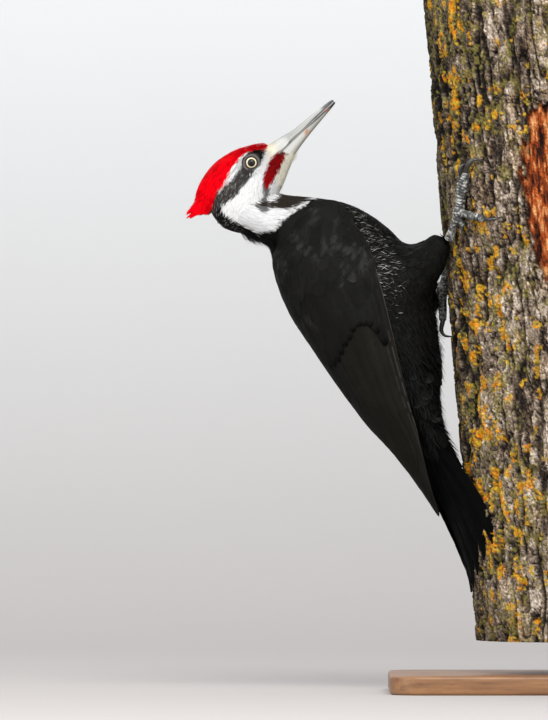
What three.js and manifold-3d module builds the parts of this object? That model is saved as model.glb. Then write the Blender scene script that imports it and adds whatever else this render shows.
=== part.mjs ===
// A life-size male pileated woodpecker clinging to a short length of tree trunk, on a plain display stand.
// Millimetres, +Z up. The origin is the centre of the base's underside. The bird faces +X, towards the trunk,
// its middle plane is y = 0, and its right side is -Y. Lengths not named otherwise are millimetres.
import * as THREE from "three";
import { mergeVertices } from "three/addons/utils/BufferGeometryUtils.js";
import Module from "manifold-3d";

const wasm = await Module();
wasm.setup();

// ---------------------------------------------------------------- driving dimensions
const GAP = 0.3; // clearance between two pieces that lie face to face
const ROOM_ROUNDS = 40; // passes over a corner's faces when a piece is given room
const MOST_ROOM = 3; // how far a sharp corner may then move out
const RIGHT = -1; // sign of y on the bird's right side
const LEFT = 1;

const BASE = { length: 250, width: 190, thickness: 14, corner: 22, bevel: 2 };
const ROD = { radius: 6, spread: 42 }; // two steel rods, this far to each side of the trunk's middle
const LOG = {
  radius: 80, // to the crests of the bark
  bottom: 38,
  top: 516,
  bottomX: 20.6, // middle of the trunk at its foot
  lean: -0.0821, // x gained for each millimetre of height: the trunk leans towards the bird
  sides: 36,
  rows: 10,
};

const EYE = { x: -226.1, z: 388.8, y: 9, radius: 6 };
const HEAD_PITCH = THREE.MathUtils.degToRad(42.5); // the bill's rise above the horizontal

// The head and crest are stated along the bill's axis u, with v square to it towards the crown, from the eye.
// Each row: u, v of the top line, v of the bottom line, half width.
const HEAD_ROWS = [
  [33, -3.6, -13, 4.6],
  [27, -2.4, -17.2, 7.4],
  [20.5, -1.2, -20.8, 9.8],
  [14, 3, -23.4, 12.2],
  [6, 7, -26.8, 14.6],
  [-3, 10, -30, 16.8],
  [-13, 11.5, -34.5, 18.6],
  [-23, 11, -38, 19.4],
  [-32, 8, -38, 18.4],
  [-40, 3, -34, 15.5],
  [-47.5, -4, -26, 10.5],
];
const CREST_ROWS = [
  [20.5, 1.4, -1.5, 2.5],
  [14.2, 7, -2, 6.5],
  [6, 11.6, 0, 10.5],
  [-1, 14.8, 0, 13],
  [-9.3, 17, -1, 14.8],
  [-18.1, 18.2, -3, 15],
  [-27.5, 17.5, -5, 13.5],
  [-36.9, 15, -7, 11],
  [-44.3, 11.6, -8.5, 7.5],
  [-50, 8.2, -8, 5],
  [-57, 6.2, -3.6, 3.6],
  [-65, 5.2, 1, 1.6],
];
const BILL = {
  seam: -7.8, // v of the line where the mandibles meet
  // u, v of the ridge (culmen), v of the keel, half width
  rows: [
    [19, 0.9, -18.6, 8.6],
    [27, -0.9, -17, 7.9],
    [38, -2.8, -14.7, 6.9],
    [50, -3.6, -12.7, 5.6],
    [62, -4.3, -11.1, 4.3],
    [70, -5, -10, 3.3],
    [75, -5.9, -9.2, 2.4],
  ],
};

// Neck and torso as one loft. Each row: back x, z, belly x, z, half width.
const BODY_ROWS = [
  [-247.7, 361.6, -218.3, 377.8, 12],
  [-252.1, 346.9, -205.8, 370.4, 18.5],
  [-241.1, 339.9, -199.9, 366, 20.5],
  [-227.1, 332.2, -190.4, 364.9, 24],
  [-213.9, 326.3, -174.2, 362.4, 31],
  [-209.5, 311.6, -155.8, 358.7, 38],
  [-203.4, 292.7, -136.7, 349.1, 42],
  [-193.9, 274, -119.1, 334.4, 43.5],
  [-179.2, 255.2, -104.4, 311.6, 43],
  [-160, 239.4, -94.1, 285.9, 40],
  [-141.5, 222.8, -88.4, 258.7, 36],
  [-123.3, 206.4, -85, 232.3, 31],
  [-107.5, 187.5, -81, 207.3, 26],
  [-95, 169, -74, 181, 21],
  [-84, 151, -64.5, 158, 15],
];
const NECK_ROW = 3.6; // where the neck is parted from the torso, counted along BODY_ROWS

// The folded wing. Each row: dorsal edge x, z, ventral edge x, z, half width of the bird there,
// share of the body's depth that the wing covers, thickness, and half the gap between the wings over the back.
const WING_ROWS = [
  [-192, 352, -181, 362, 27, 0.5, 4, 20],
  [-204, 341, -161, 359.5, 38.5, 0.72, 6, 22],
  [-210.5, 322, -149, 342, 44, 0.78, 6.5, 21],
  [-208, 303, -139, 326, 47.5, 0.77, 6.5, 17],
  [-197, 277, -131.5, 302, 49, 0.71, 6.5, 10.5],
  [-181.5, 251.6, -125, 275, 48, 0.65, 6.5, 4],
  [-164, 226.5, -118, 245, 44, 0.6, 6, 1.2],
  [-146.3, 201.6, -110, 212, 38.5, 0.56, 5.5, 1.2],
  [-128, 180, -104, 190, 32, 0.5, 5, 1.2],
  [-112.5, 161.5, -99, 168, 25.5, 0.45, 4, 1.2],
  [-100, 144.5, -94.5, 148, 19, 0.4, 3, 1.6],
  [-90, 129, -88.6, 129.5, 13, 0.35, 1.6, 4],
];
const OVER_WING = 6; // how far outside the wings the torso still gives way to them

// The tail: five feathers a side. Tips lie on the bark; each row: y of the tip, z of the tip, half width of the vane.
const TAIL = {
  root: [-118, 206],
  rootSpread: 2.2, // sideways step from one root to the next
  stack: 0.85, // each feather lies this much further under the one nearer the middle
  thickness: 1.3,
  feathers: [
    [5, 78, 8],
    [15, 82.5, 8.6],
    [26, 90, 8.6],
    [36, 101, 8.2],
    [45.5, 112.5, 7.4],
  ],
  outerBow: [17, 4.5, 1], // how far the outermost feathers bend from a straight line, towards the bark
  roll: 0.7, // how much more steeply than the bark the feathers lie near their roots
  base: { at: [-113, 0, 198], radii: [7, 13, 13] }, // the lump that the quills grow from
};

// Legs. A place on the trunk is the angle round it from the bird's middle plane (degrees, + to the bird's right),
// the distance from the trunk's axis, and the height. A toe has its end, its radius, the angle and height of its
// claw's tip on the bark, and how far the claw arches up from the straight line to that tip.
const LEGS = {
  right: {
    side: RIGHT,
    hip: [-131, -22, 299],
    knee: [-104, -25, 312.5],
    cuff: [
      [15.5, 95.5, 320.5],
      [19, 90.5, 330],
    ],
    ankle: [26, 86.5, 332],
    foot: [36, 85.5, 352],
    toes: [
      { end: [38.8, 83.9, 378.5], radius: 2.7, tip: [43.6, 387.5], arch: 1.2 },
      { end: [43, 84.2, 381], radius: 3.1, tip: [53.5, 388.8], arch: 3.4 },
      { end: [52.5, 83.8, 346.8], radius: 2.6, tip: [62.5, 348.6], arch: -1.2 },
      { end: [35, 84, 335], radius: 2.5, tip: [37.5, 326.5], arch: -1 },
    ],
  },
  left: {
    side: LEFT,
    hip: [-134, 22, 296],
    knee: [-116, 29, 288],
    cuff: [
      [-21, 107.3, 287],
      [-21.5, 102, 291],
    ],
    ankle: [-22.5, 107, 281],
    foot: [-18, 88.5, 296.5],
    toes: [
      { end: [-21.4, 84.4, 320], radius: 2.7, tip: [-25, 330], arch: 4.5 },
      { end: [-27.2, 84.6, 325], radius: 3.1, tip: [-34.4, 333.5], arch: 5.5 },
      { end: [-37.4, 84.2, 290.5], radius: 2.9, tip: [-48, 292], arch: -0.6 },
      { end: [-11.8, 88.4, 273], radius: 2.8, tip: [-10.4, 261.2], arch: -2.6 },
    ],
  },
};
const CLAW_LIFT = 4.6; // how far a claw's back stands out from the line to its tip
const TIP_LIFT = 0.6; // of the middle of a claw's tip over the bark
const THIGH_RADII = [26, 20, 12, 6.5]; // the feathered leg at its hip, its knee and along its cuff
const TARSUS_RADIUS = 3.1;
const BALL_RADIUS = 4.4; // of the foot, where the toes meet

const COLOURS = {
  black: 0x141312,
  wing: 0x1a1817,
  white: 0xe9e6dc,
  red: 0xc8101a,
  horn: 0x8f9092,
  scales: 0x4b4c50,
  claw: 0x2b2a2c,
  iris: 0xd8c48a,
  bark: 0x8a8071,
  wood: 0x5a3d28,
  steel: 0x8d9094,
};

// ---------------------------------------------------------------- solids
const material = (colour, roughness = 0.8, metalness = 0) =>
  new THREE.MeshStandardMaterial({ color: colour, roughness, metalness });

/** A closed geometry as a manifold solid, turned to face out. */
function solidOf(geometry) {
  const bare = geometry.clone();
  bare.deleteAttribute("normal");
  bare.deleteAttribute("uv");
  const merged = mergeVertices(bare, 1e-4);
  const mesh = (triVerts) =>
    new wasm.Mesh({ numProp: 3, vertProperties: merged.attributes.position.array, triVerts });
  const triVerts = new Uint32Array(merged.index.array);
  const solid = new wasm.Manifold(mesh(triVerts));
  return solid.volume() > 0 ? solid : new wasm.Manifold(mesh(triVerts.reverse()));
}

/** A manifold solid as a geometry with flat faces. */
function geometryOf(solid) {
  const made = solid.getMesh();
  const places = new Float32Array(made.numVert * 3);
  for (let i = 0; i < made.numVert; i++) {
    places.set(made.vertProperties.subarray(i * made.numProp, i * made.numProp + 3), i * 3);
  }
  const geometry = new THREE.BufferGeometry();
  geometry.setAttribute("position", new THREE.BufferAttribute(places, 3));
  geometry.setIndex(new THREE.BufferAttribute(made.triVerts, 1));
  geometry.computeVertexNormals();
  return geometry;
}

/** The room a solid takes up: each corner is moved out until every face round it lies GAP further out. */
function roomFor(solid) {
  const geometry = geometryOf(solid);
  const at = geometry.attributes.position;
  const corners = geometry.index.array;
  const facing = Array.from({ length: at.count }, () => []);
  for (let i = 0; i < corners.length; i += 3) {
    const [a, b, c] = [0, 1, 2].map((k) => new THREE.Vector3().fromBufferAttribute(at, corners[i + k]));
    const normal = new THREE.Triangle(a, b, c).getNormal(new THREE.Vector3());
    for (let k = 0; k < 3; k++) facing[corners[i + k]].push(normal);
  }
  facing.forEach((normals, i) => {
    const move = new THREE.Vector3();
    for (let round = 0; round < ROOM_ROUNDS; round++) {
      for (const normal of normals) move.addScaledVector(normal, Math.max(0, GAP - move.dot(normal)));
    }
    const place = new THREE.Vector3().fromBufferAttribute(at, i).add(move.clampLength(0, MOST_ROOM));
    at.setXYZ(i, place.x, place.y, place.z);
  });
  return solidOf(geometry);
}

/** The largest connected body of a solid, so that a cut leaves no crumbs. */
function largest(solid) {
  return solid.decompose().reduce((a, b) => (b.volume() > a.volume() ? b : a));
}

/** Solids grown together. */
const joined = (solids) => solids.reduce((all, solid) => all.add(solid));

/** A solid less others. */
const less = (solid, ...others) => largest(others.reduce((left, other) => left.subtract(other), solid));

/** A closed surface: a sphere's grid of rings and spokes, moved to place(t, angle), with a pole at each end of t. */
function ringSolid(around, along, place) {
  const geometry = new THREE.SphereGeometry(1, around, along);
  const at = geometry.attributes.position;
  for (let row = 0; row <= along; row++) {
    for (let spoke = 0; spoke <= around; spoke++) {
      const p = place(row / along, ((spoke % around) / around) * 2 * Math.PI, row);
      at.setXYZ(row * (around + 1) + spoke, p.x, p.y, p.z);
    }
  }
  return solidOf(geometry);
}

/** Rows of numbers read smoothly at s, from 0 at the first row to 1 at the last (uniform Catmull-Rom). */
function readRows(rows, s) {
  const x = THREE.MathUtils.clamp(s, 0, 1) * (rows.length - 1);
  const i = Math.min(Math.floor(x), rows.length - 2);
  const f = x - i;
  const row = (k) => rows[THREE.MathUtils.clamp(k, 0, rows.length - 1)];
  return rows[i].map((_, c) => {
    const [a, b, d, e] = [row(i - 1)[c], row(i)[c], row(i + 1)[c], row(i + 2)[c]];
    return 0.5 * (2 * b + (d - a) * f + (2 * a - 5 * b + 4 * d - e) * f * f + (3 * b - a - 3 * d + e) * f ** 3);
  });
}

/** How full a loft is at t: it rounds to nothing over the share `cap` at each end. */
function roundEnds(t, startCap, endCap) {
  const end = Math.max(1 - t / startCap, 1 - (1 - t) / endCap, 0);
  return Math.sqrt(Math.max(0, 1 - Math.min(end, 1) ** 2));
}

/** Rows closer together at both ends, where the loft rounds off. */
const eased = (t) => 0.5 * t + 0.25 * (1 - Math.cos(Math.PI * t));

/** A loft whose rings run from a back line to a belly line in the middle plane, with a half width. */
function bodyLoft(rows, { around, along, startCap, endCap, widest = 0.5 }) {
  return ringSolid(around, along, (t, angle) => {
    const s = eased(t);
    const [backX, backZ, bellyX, bellyZ, halfWidth] = readRows(rows, s);
    const full = roundEnds(t, startCap, endCap);
    const back = new THREE.Vector3(backX, 0, backZ);
    const belly = new THREE.Vector3(bellyX, 0, bellyZ);
    const middle = back.clone().lerp(belly, widest);
    const edge = (Math.cos(angle) > 0 ? back : belly).clone().sub(middle);
    edge.multiplyScalar(full * Math.abs(Math.cos(angle)));
    return middle.add(edge).setY(halfWidth * full * Math.sin(angle));
  });
}

/** A point of the head's frame (u along the bill, v to the crown, from the eye) in the part's middle plane. */
function headPoint(u, v) {
  const [c, s] = [Math.cos(HEAD_PITCH), Math.sin(HEAD_PITCH)];
  return new THREE.Vector3(EYE.x + u * c - v * s, 0, EYE.z + u * s + v * c);
}

/** Rows of the head's frame as back and belly lines. */
const headRows = (rows) =>
  rows.map(([u, top, bottom, halfWidth]) => {
    const [a, b] = [headPoint(u, top), headPoint(u, bottom)];
    return [a.x, a.z, b.x, b.z, halfWidth];
  });

const logAxisX = (z) => LOG.bottomX + LOG.lean * (z - LOG.bottom);

/** A place near the trunk: angle round it in degrees, distance from its axis, height. */
function logPoint([degrees, distance, z]) {
  const angle = THREE.MathUtils.degToRad(degrees);
  return new THREE.Vector3(logAxisX(z) - distance * Math.cos(angle), -distance * Math.sin(angle), z);
}

/** A tube through points, its radius read from `radii` along it. An end cap of 0 leaves the end pointed. */
function tube(points, radii, { around, along, startCap, endCap }) {
  const curve = new THREE.CatmullRomCurve3(points, false, "centripetal");
  const sideways = new THREE.Vector3(0.13, 0.97, 0.21).normalize();
  return ringSolid(around, along, (t, angle) => {
    const s = endCap ? eased(t) : t;
    const full = t === 0 || t === 1 ? 0 : roundEnds(t, startCap, Math.max(endCap, 1e-6));
    const tangent = curve.getTangent(s);
    const one = new THREE.Vector3().crossVectors(tangent, sideways).normalize();
    const two = new THREE.Vector3().crossVectors(tangent, one);
    const radius = readRows(radii.map((r) => [r]), s)[0] * full;
    return curve
      .getPoint(s)
      .addScaledVector(one, radius * Math.cos(angle))
      .addScaledVector(two, radius * Math.sin(angle));
  });
}

// ---------------------------------------------------------------- trunk and stand
/** The trunk: furrowed bark on a leaning round log, sawn flat at both ends. */
function log() {
  const ridges = (angle, z) =>
    1.1 * Math.cos(9 * angle + z / 70) + 0.9 * Math.cos(14 * angle - z / 45 + 1) - 1;
  return ringSolid(LOG.sides, LOG.rows + 2, (t, angle, row) => {
    const share = THREE.MathUtils.clamp((row - 1) / LOG.rows, 0, 1);
    const z = THREE.MathUtils.lerp(LOG.bottom, LOG.top, share);
    if (t === 0 || t === 1) return new THREE.Vector3(logAxisX(z), 0, z);
    const radius = LOG.radius + ridges(angle, z);
    return new THREE.Vector3(logAxisX(z) + radius * Math.cos(angle), radius * Math.sin(angle), z);
  });
}

/** The base: a flat board with round corners and a small bevel. */
function base() {
  const { length, width, thickness, corner, bevel } = BASE;
  const [x, y] = [length / 2 - bevel, width / 2 - bevel];
  const outline = new THREE.Shape()
    .moveTo(-x + corner, -y)
    .lineTo(x - corner, -y)
    .absarc(x - corner, -y + corner, corner, -Math.PI / 2, 0)
    .lineTo(x, y - corner)
    .absarc(x - corner, y - corner, corner, 0, Math.PI / 2)
    .lineTo(-x + corner, y)
    .absarc(-x + corner, y - corner, corner, Math.PI / 2, Math.PI)
    .lineTo(-x, -y + corner)
    .absarc(-x + corner, -y + corner, corner, Math.PI, 1.5 * Math.PI);
  const geometry = new THREE.ExtrudeGeometry(outline, {
    depth: thickness - 2 * bevel,
    bevelThickness: bevel,
    bevelSize: bevel,
    bevelSegments: 1,
    curveSegments: 3,
  });
  return solidOf(geometry.translate(0, 0, bevel));
}

/** One rod from the base's top to the trunk's foot. */
function rod(y) {
  const height = LOG.bottom - BASE.thickness;
  const geometry = new THREE.CylinderGeometry(ROD.radius, ROD.radius, height, 16);
  return solidOf(geometry.rotateX(Math.PI / 2).translate(LOG.bottomX, y, BASE.thickness + height / 2));
}

// ---------------------------------------------------------------- bird
const body = () => bodyLoft(BODY_ROWS, { around: 20, along: 20, startCap: 0.12, endCap: 0.12 });
const head = () =>
  bodyLoft(headRows(HEAD_ROWS), { around: 16, along: 12, startCap: 0.1, endCap: 0.2, widest: 0.55 });
const crest = () =>
  bodyLoft(headRows(CREST_ROWS), { around: 10, along: 13, startCap: 0.1, endCap: 0.12, widest: 0.6 });

/** One mandible: the bill's loft, kept above or below the seam where the two meet. */
function mandible(upper) {
  const rows = BILL.rows.map(([u, ridge, keel, halfWidth]) =>
    upper ? [u, ridge, 2 * BILL.seam - ridge, halfWidth] : [u, 2 * BILL.seam - keel, keel, halfWidth * 0.94],
  );
  const whole = bodyLoft(headRows(rows), { around: 12, along: 8, startCap: 0.1, endCap: 0.04 });
  const normal = headPoint(0, 1).sub(headPoint(0, 0));
  const seam = headPoint(0, BILL.seam + (upper ? GAP / 2 : -GAP / 2)).dot(normal);
  const kept = upper ? [normal, seam] : [normal.clone().negate(), -seam];
  return whole.trimByPlane(kept[0].toArray(), kept[1]);
}

/**
 * A folded wing: a shell on the bird's elliptical section, from beside the back's middle line down to the flank.
 * With `proud` it also takes in what lies that far outside it.
 */
function wing(side, proud = 0) {
  return ringSolid(16, 14, (t, angle) => {
    const s = eased(t);
    const [dorsalX, dorsalZ, ventralX, ventralZ, halfWidth, share, thickness, halfGap] = readRows(WING_ROWS, s);
    const full = roundEnds(t, 0.07, 0.05);
    const across = THREE.MathUtils.lerp(0.5, 0.5 - 0.5 * Math.cos(angle), full);
    const cosine = THREE.MathUtils.lerp(Math.sqrt(1 - (halfGap / halfWidth) ** 2), 1 - 2 * share, across);
    const taper = Math.min(1, 4 * across * (1 - across) + 0.25);
    const inner = 0.5 - 0.5 * Math.sin(angle);
    const inset = (inner * thickness * taper - (1 - inner) * proud) * full;
    const [dorsal, ventral] = [new THREE.Vector3(dorsalX, 0, dorsalZ), new THREE.Vector3(ventralX, 0, ventralZ)];
    const depth = ventral.sub(dorsal);
    const halfDepth = depth.length() / (2 * share);
    depth.setLength(halfDepth - cosine * (halfDepth - inset));
    return dorsal.add(depth).setY(side * (halfWidth - inset) * Math.sqrt(1 - cosine ** 2));
  });
}

/** The middle line of a tail feather, from the rump to the bark. */
function tailCurve(side, index) {
  const [tipY, tipZ] = TAIL.feathers[index];
  const reach = LOG.radius + 1.6;
  const outwards = index / (TAIL.feathers.length - 1);
  const [bowX, bowY, bowZ] = TAIL.outerBow;
  const root = new THREE.Vector3(
    TAIL.root[0] + index * TAIL.stack,
    side * (1 + TAIL.rootSpread * index),
    TAIL.root[1],
  );
  const tip = new THREE.Vector3(logAxisX(tipZ) - Math.sqrt(reach ** 2 - tipY ** 2), side * tipY, tipZ);
  const bow = new THREE.Vector3(bowX, side * bowY, bowZ).multiplyScalar(outwards);
  return new THREE.QuadraticBezierCurve3(root, root.clone().lerp(tip, 0.6).add(bow), tip);
}

/** One tail feather: a thin vane of four-sided section, pointed at its tip and rolled to lie along the bark. */
function tailFeather(side, index) {
  const [tipY, , halfWidth] = TAIL.feathers[index];
  const curve = tailCurve(side, index);
  const lie = Math.asin(tipY / LOG.radius);
  return ringSolid(4, 6, (t, angle) => {
    const corner = angle + Math.PI / 4;
    const roll = side * lie * (1 + TAIL.roll * (1 - t)) * Math.min(1, 3 * t);
    const flat = new THREE.Vector3(Math.sin(roll), Math.cos(roll), 0);
    const thick = new THREE.Vector3().crossVectors(curve.getTangent(t), flat).normalize();
    const width = halfWidth * Math.min(1, (1 - t) / 0.22) ** 0.8 * (0.6 + 0.4 * Math.min(1, t / 0.4));
    const full = t === 0 || t === 1 ? 0 : Math.SQRT2;
    return curve
      .getPoint(t)
      .addScaledVector(flat, width * Math.cos(corner) * full)
      .addScaledVector(thick, (TAIL.thickness / 2) * Math.sin(corner) * full);
  });
}

/** The ten tail feathers and the lump that their quills grow from. */
function tailPieces() {
  const { at, radii } = TAIL.base;
  const lump = solidOf(new THREE.SphereGeometry(1, 8, 6).scale(...radii).translate(...at));
  return [lump, ...TAIL.feathers.flatMap((_, index) => [tailFeather(RIGHT, index), tailFeather(LEFT, index)])];
}

/** The feathered part of a leg, from the flank to the cuff round its ankle. */
function thigh(leg) {
  const points = [new THREE.Vector3(...leg.hip), new THREE.Vector3(...leg.knee), ...leg.cuff.map(logPoint)];
  return tube(points, THIGH_RADII, { around: 12, along: 10, startCap: 0.3, endCap: 0.14 });
}

/** The bare part of a leg, from the ankle to the foot. */
function tarsus(leg) {
  const [ankle, foot] = [logPoint(leg.ankle), logPoint(leg.foot)];
  const middle = ankle.clone().lerp(foot, 0.5);
  const radii = [TARSUS_RADIUS * 1.15, TARSUS_RADIUS * 0.85, TARSUS_RADIUS * 1.2];
  return tube([ankle, middle, foot], radii, { around: 8, along: 6, startCap: 0.1, endCap: 0.1 });
}

/** The place a share of the way from one place on the trunk to another, moved by `shift`. */
const between = (from, to, share, shift = [0, 0, 0]) =>
  from.map((value, i) => THREE.MathUtils.lerp(value, to[i], share) + shift[i]);

/** A foot: the ball of the foot and its four toes, each to its claw. */
function footPieces(leg) {
  const centre = logPoint(leg.foot);
  const ball = solidOf(new THREE.SphereGeometry(BALL_RADIUS, 8, 6).translate(centre.x, centre.y, centre.z));
  const toes = leg.toes.map(({ end, radius }) => {
    const points = [0, 1 / 3, 2 / 3, 1].map((share) => logPoint(between(leg.foot, end, share)));
    const radii = [1.25, 1, 1.08, 0.92].map((share) => share * radius);
    return tube(points, radii, { around: 6, along: 5, startCap: 0.12, endCap: 0.1 });
  });
  return [ball, ...toes];
}

/** One claw, curved from inside the end of its toe to a point on the bark. */
function claw(leg, index) {
  const { end, radius, tip, arch } = leg.toes[index];
  const point = [tip[0], LOG.radius + TIP_LIFT, tip[1]];
  const path = [
    between(leg.foot, end, 0.7),
    end,
    between(end, point, 0.4, [0, CLAW_LIFT, 0.8 * arch]),
    between(end, point, 0.72, [0, CLAW_LIFT, arch]),
    point,
  ];
  const radii = [0.6, 0.8, 0.72, 0.44, 0.16].map((share) => share * radius);
  return tube(path.map(logPoint), radii, { around: 6, along: 7, startCap: 0.1, endCap: 0 });
}

// ---------------------------------------------------------------- assembly
const group = new THREE.Group();

/** Adds a solid to the model as a named piece. */
function add(name, solid, finish) {
  const mesh = new THREE.Mesh(geometryOf(solid), finish);
  mesh.name = name;
  group.add(mesh);
}

const bark = material(COLOURS.bark, 0.95);
const plumage = material(COLOURS.black, 0.7);
const white = material(COLOURS.white, 0.8);
const flight = material(COLOURS.wing, 0.55);
const horn = material(COLOURS.horn, 0.45);
const scaly = material(COLOURS.scales, 0.6);
const steel = material(COLOURS.steel, 0.35, 1);

add("stand_base", base(), material(COLOURS.wood, 0.5));
add("stand_rod_right", rod(RIGHT * ROD.spread), steel);
add("stand_rod_left", rod(LEFT * ROD.spread), steel);
add("perch_log", log(), bark);

const both = (make) => ({ right: make(LEGS.right), left: make(LEGS.left) });
const logRoom = roomFor(log());
const headRoom = roomFor(head());
const crestRoom = roomFor(crest());
const bodyRoom = roomFor(body());
const wingRooms = both((leg) => roomFor(wing(leg.side)));
const overWings = both((leg) => wing(leg.side, OVER_WING));
const tailRoom = joined(tailPieces().map(roomFor));
const thighRooms = both((leg) => roomFor(thigh(leg)));
const footRooms = both((leg) => joined(footPieces(leg).map(roomFor)));

const eyeBall = (leg) =>
  solidOf(new THREE.SphereGeometry(EYE.radius, 12, 8).translate(EYE.x, leg.side * EYE.y, EYE.z));
const eyeRooms = both((leg) => roomFor(eyeBall(leg)));
add("head", less(head(), eyeRooms.right, eyeRooms.left), white);
add("crest", less(crest(), headRoom, eyeRooms.right, eyeRooms.left), material(COLOURS.red, 0.7));
add("bill_upper", less(mandible(true), headRoom, crestRoom), horn);
add("bill_lower", less(mandible(false), headRoom), horn);

// The neck is parted from the torso by a thin cut square to the body there.
const [backX, backZ, bellyX, bellyZ] = readRows(BODY_ROWS, NECK_ROW / (BODY_ROWS.length - 1));
const upwards = new THREE.Vector3(backZ - bellyZ, 0, bellyX - backX).normalize();
const cutAt = upwards.dot(new THREE.Vector3(backX, 0, backZ));
const neck = body().trimByPlane(upwards.toArray(), cutAt + GAP / 2);
const torso = body().trimByPlane(upwards.clone().negate().toArray(), GAP / 2 - cutAt);
add("neck", less(neck, headRoom, crestRoom, wingRooms.right, wingRooms.left), white);
add("torso", less(torso, ...Object.values(wingRooms), ...Object.values(overWings), tailRoom), plumage);
add("tail", less(joined(tailPieces()), wingRooms.right, wingRooms.left, logRoom), flight);

for (const [name, leg] of Object.entries(LEGS)) {
  add(`eye_${name}`, eyeBall(leg), material(COLOURS.iris, 0.1));
  add(`wing_${name}`, less(wing(leg.side), headRoom), flight);
  add(`thigh_${name}`, less(thigh(leg), bodyRoom, wingRooms[name], logRoom), plumage);
  add(`tarsus_${name}`, less(tarsus(leg), bodyRoom, thighRooms[name], footRooms[name], logRoom), scaly);
  add(`foot_${name}`, less(joined(footPieces(leg)), bodyRoom, thighRooms[name], logRoom), scaly);
  leg.toes.forEach((_, index) => {
    const hook = less(claw(leg, index), footRooms[name], logRoom);
    add(`claw_${name}_${index + 1}`, hook, material(COLOURS.claw, 0.35));
  });
}

export default group;
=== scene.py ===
"""A life-size male pileated woodpecker clinging to a short length of tree trunk, on a plain display stand.

Metres, +Z up. The origin is the centre of the base's underside. The bird faces +X, towards the trunk, its
middle plane is y = 0, and its right side is -Y. Outlines are in millimetres and are scaled as they are read.
"""

import logging
import math
from dataclasses import dataclass, field
from enum import Enum
from functools import cached_property, partial
from typing import Sequence

import bpy
import numpy as np
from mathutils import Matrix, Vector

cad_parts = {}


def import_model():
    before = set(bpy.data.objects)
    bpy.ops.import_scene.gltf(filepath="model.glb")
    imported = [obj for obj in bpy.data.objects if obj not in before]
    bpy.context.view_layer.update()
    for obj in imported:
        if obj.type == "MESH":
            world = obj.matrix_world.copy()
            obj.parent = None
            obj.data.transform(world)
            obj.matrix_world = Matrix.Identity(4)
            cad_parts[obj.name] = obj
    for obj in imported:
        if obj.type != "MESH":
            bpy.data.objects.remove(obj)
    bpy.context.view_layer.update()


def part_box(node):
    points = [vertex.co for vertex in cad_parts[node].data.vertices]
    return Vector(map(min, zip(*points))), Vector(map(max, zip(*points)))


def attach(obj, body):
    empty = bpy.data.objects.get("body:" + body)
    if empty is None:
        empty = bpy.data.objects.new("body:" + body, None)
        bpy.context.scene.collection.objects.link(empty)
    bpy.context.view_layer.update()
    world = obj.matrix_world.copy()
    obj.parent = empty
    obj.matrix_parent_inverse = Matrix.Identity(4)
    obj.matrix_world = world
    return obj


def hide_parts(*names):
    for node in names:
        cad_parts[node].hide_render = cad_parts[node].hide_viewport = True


Array = np.ndarray
Pair = tuple[float, float]
Triple = tuple[float, float, float]
Colour = Triple
Line = tuple[Pair, ...]
Mesh, Material, Object = bpy.types.Mesh, bpy.types.Material, bpy.types.Object
Tree, Node, Link = bpy.types.NodeTree, bpy.types.Node, bpy.types.NodeSocket
MM = 0.001
EVEN_STEPS = (0.7548776662, 0.5698402910)  # The plastic number's first two powers, inverted.
log = logging.getLogger("woodpecker")


class Side(Enum):
    """One side of the bird: the sign of y there."""

    RIGHT = -1
    LEFT = 1

    @property
    def word(self) -> str:
        """The side's name, as the frame's nodes spell it."""
        return self.name.lower()

    @property
    def span(self) -> Pair:
        """This side's stretch of the way round a form."""
        return (0.0, 0.5) if self is Side.LEFT else (0.5, 1.0)


# ---- numbers
def shade(red: float, green: float, blue: float) -> Colour:
    """A display colour of 0 to 255 a channel as the linear colour that shaders take."""
    return tuple(
        value / 255 / 12.92 if value < 10.3 else ((value / 255 + 0.055) / 1.055) ** 2.4
        for value in (red, green, blue)
    )


def unit(vectors: Array) -> Array:
    """Vectors at length one."""
    return vectors / np.maximum(np.linalg.norm(vectors, axis=-1, keepdims=True), 1e-12)


def ramp(low: float | Array, high: float | Array, x: Array) -> Array:
    """A soft step from 0 at low to 1 at high."""
    share = np.clip((x - low) / (high - low), 0, 1)
    return share * share * (3 - 2 * share)


def mix(a: Array, b: Array, share: Array) -> Array:
    """Rows of a and b mixed by a share for each row."""
    return a + (np.asarray(b) - a) * np.asarray(share)[..., None]


def read_rows(rows: Array, share: Array) -> Array:
    """Rows of numbers read smoothly (uniform Catmull-Rom).

    Args:
        rows: the rows, one below another.
        share: where to read, from 0 at the first row to 1 at the last.

    Returns:
        The numbers there, with the columns last.
    """
    x = np.clip(share, 0, 1) * (len(rows) - 1)
    i = np.minimum(x.astype(int), len(rows) - 2)
    f = (x - i)[..., None]
    a, b, c, d = (rows[np.clip(i + k, 0, len(rows) - 1)] for k in (-1, 0, 1, 2))
    return 0.5 * (2 * b + (c - a) * f + (2 * a - 5 * b + 4 * c - d) * f**2 + (3 * b - a - 3 * c + d) * f**3)


def filled(colour: Colour, like: Array) -> Array:
    """A colour for each of an array's points."""
    return np.broadcast_to(np.array(colour), like.shape)


def dice(seed: int) -> np.random.Generator:
    """Random draws that come out the same each time."""
    return np.random.default_rng(seed)


def in_plane(row: Array, column: int) -> Array:
    """Points of the middle plane whose x and z are a row's numbers from a column on."""
    return np.stack([row[..., column], np.zeros(row.shape[:-1]), row[..., column + 1]], -1)


def eased(t: Array) -> Array:
    """Shares closer together at both ends, where a form rounds off."""
    return 0.5 * t + 0.25 * (1 - np.cos(np.pi * t))


def round_ends(t: Array, start: float, end: float) -> Array:
    """How full a form is at t: it rounds to nothing over the given share at each end."""
    past = np.maximum(np.maximum(1 - t / start, 1 - (1 - t) / end), 0)
    return np.sqrt(np.maximum(0, 1 - np.minimum(past, 1) ** 2))


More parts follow.
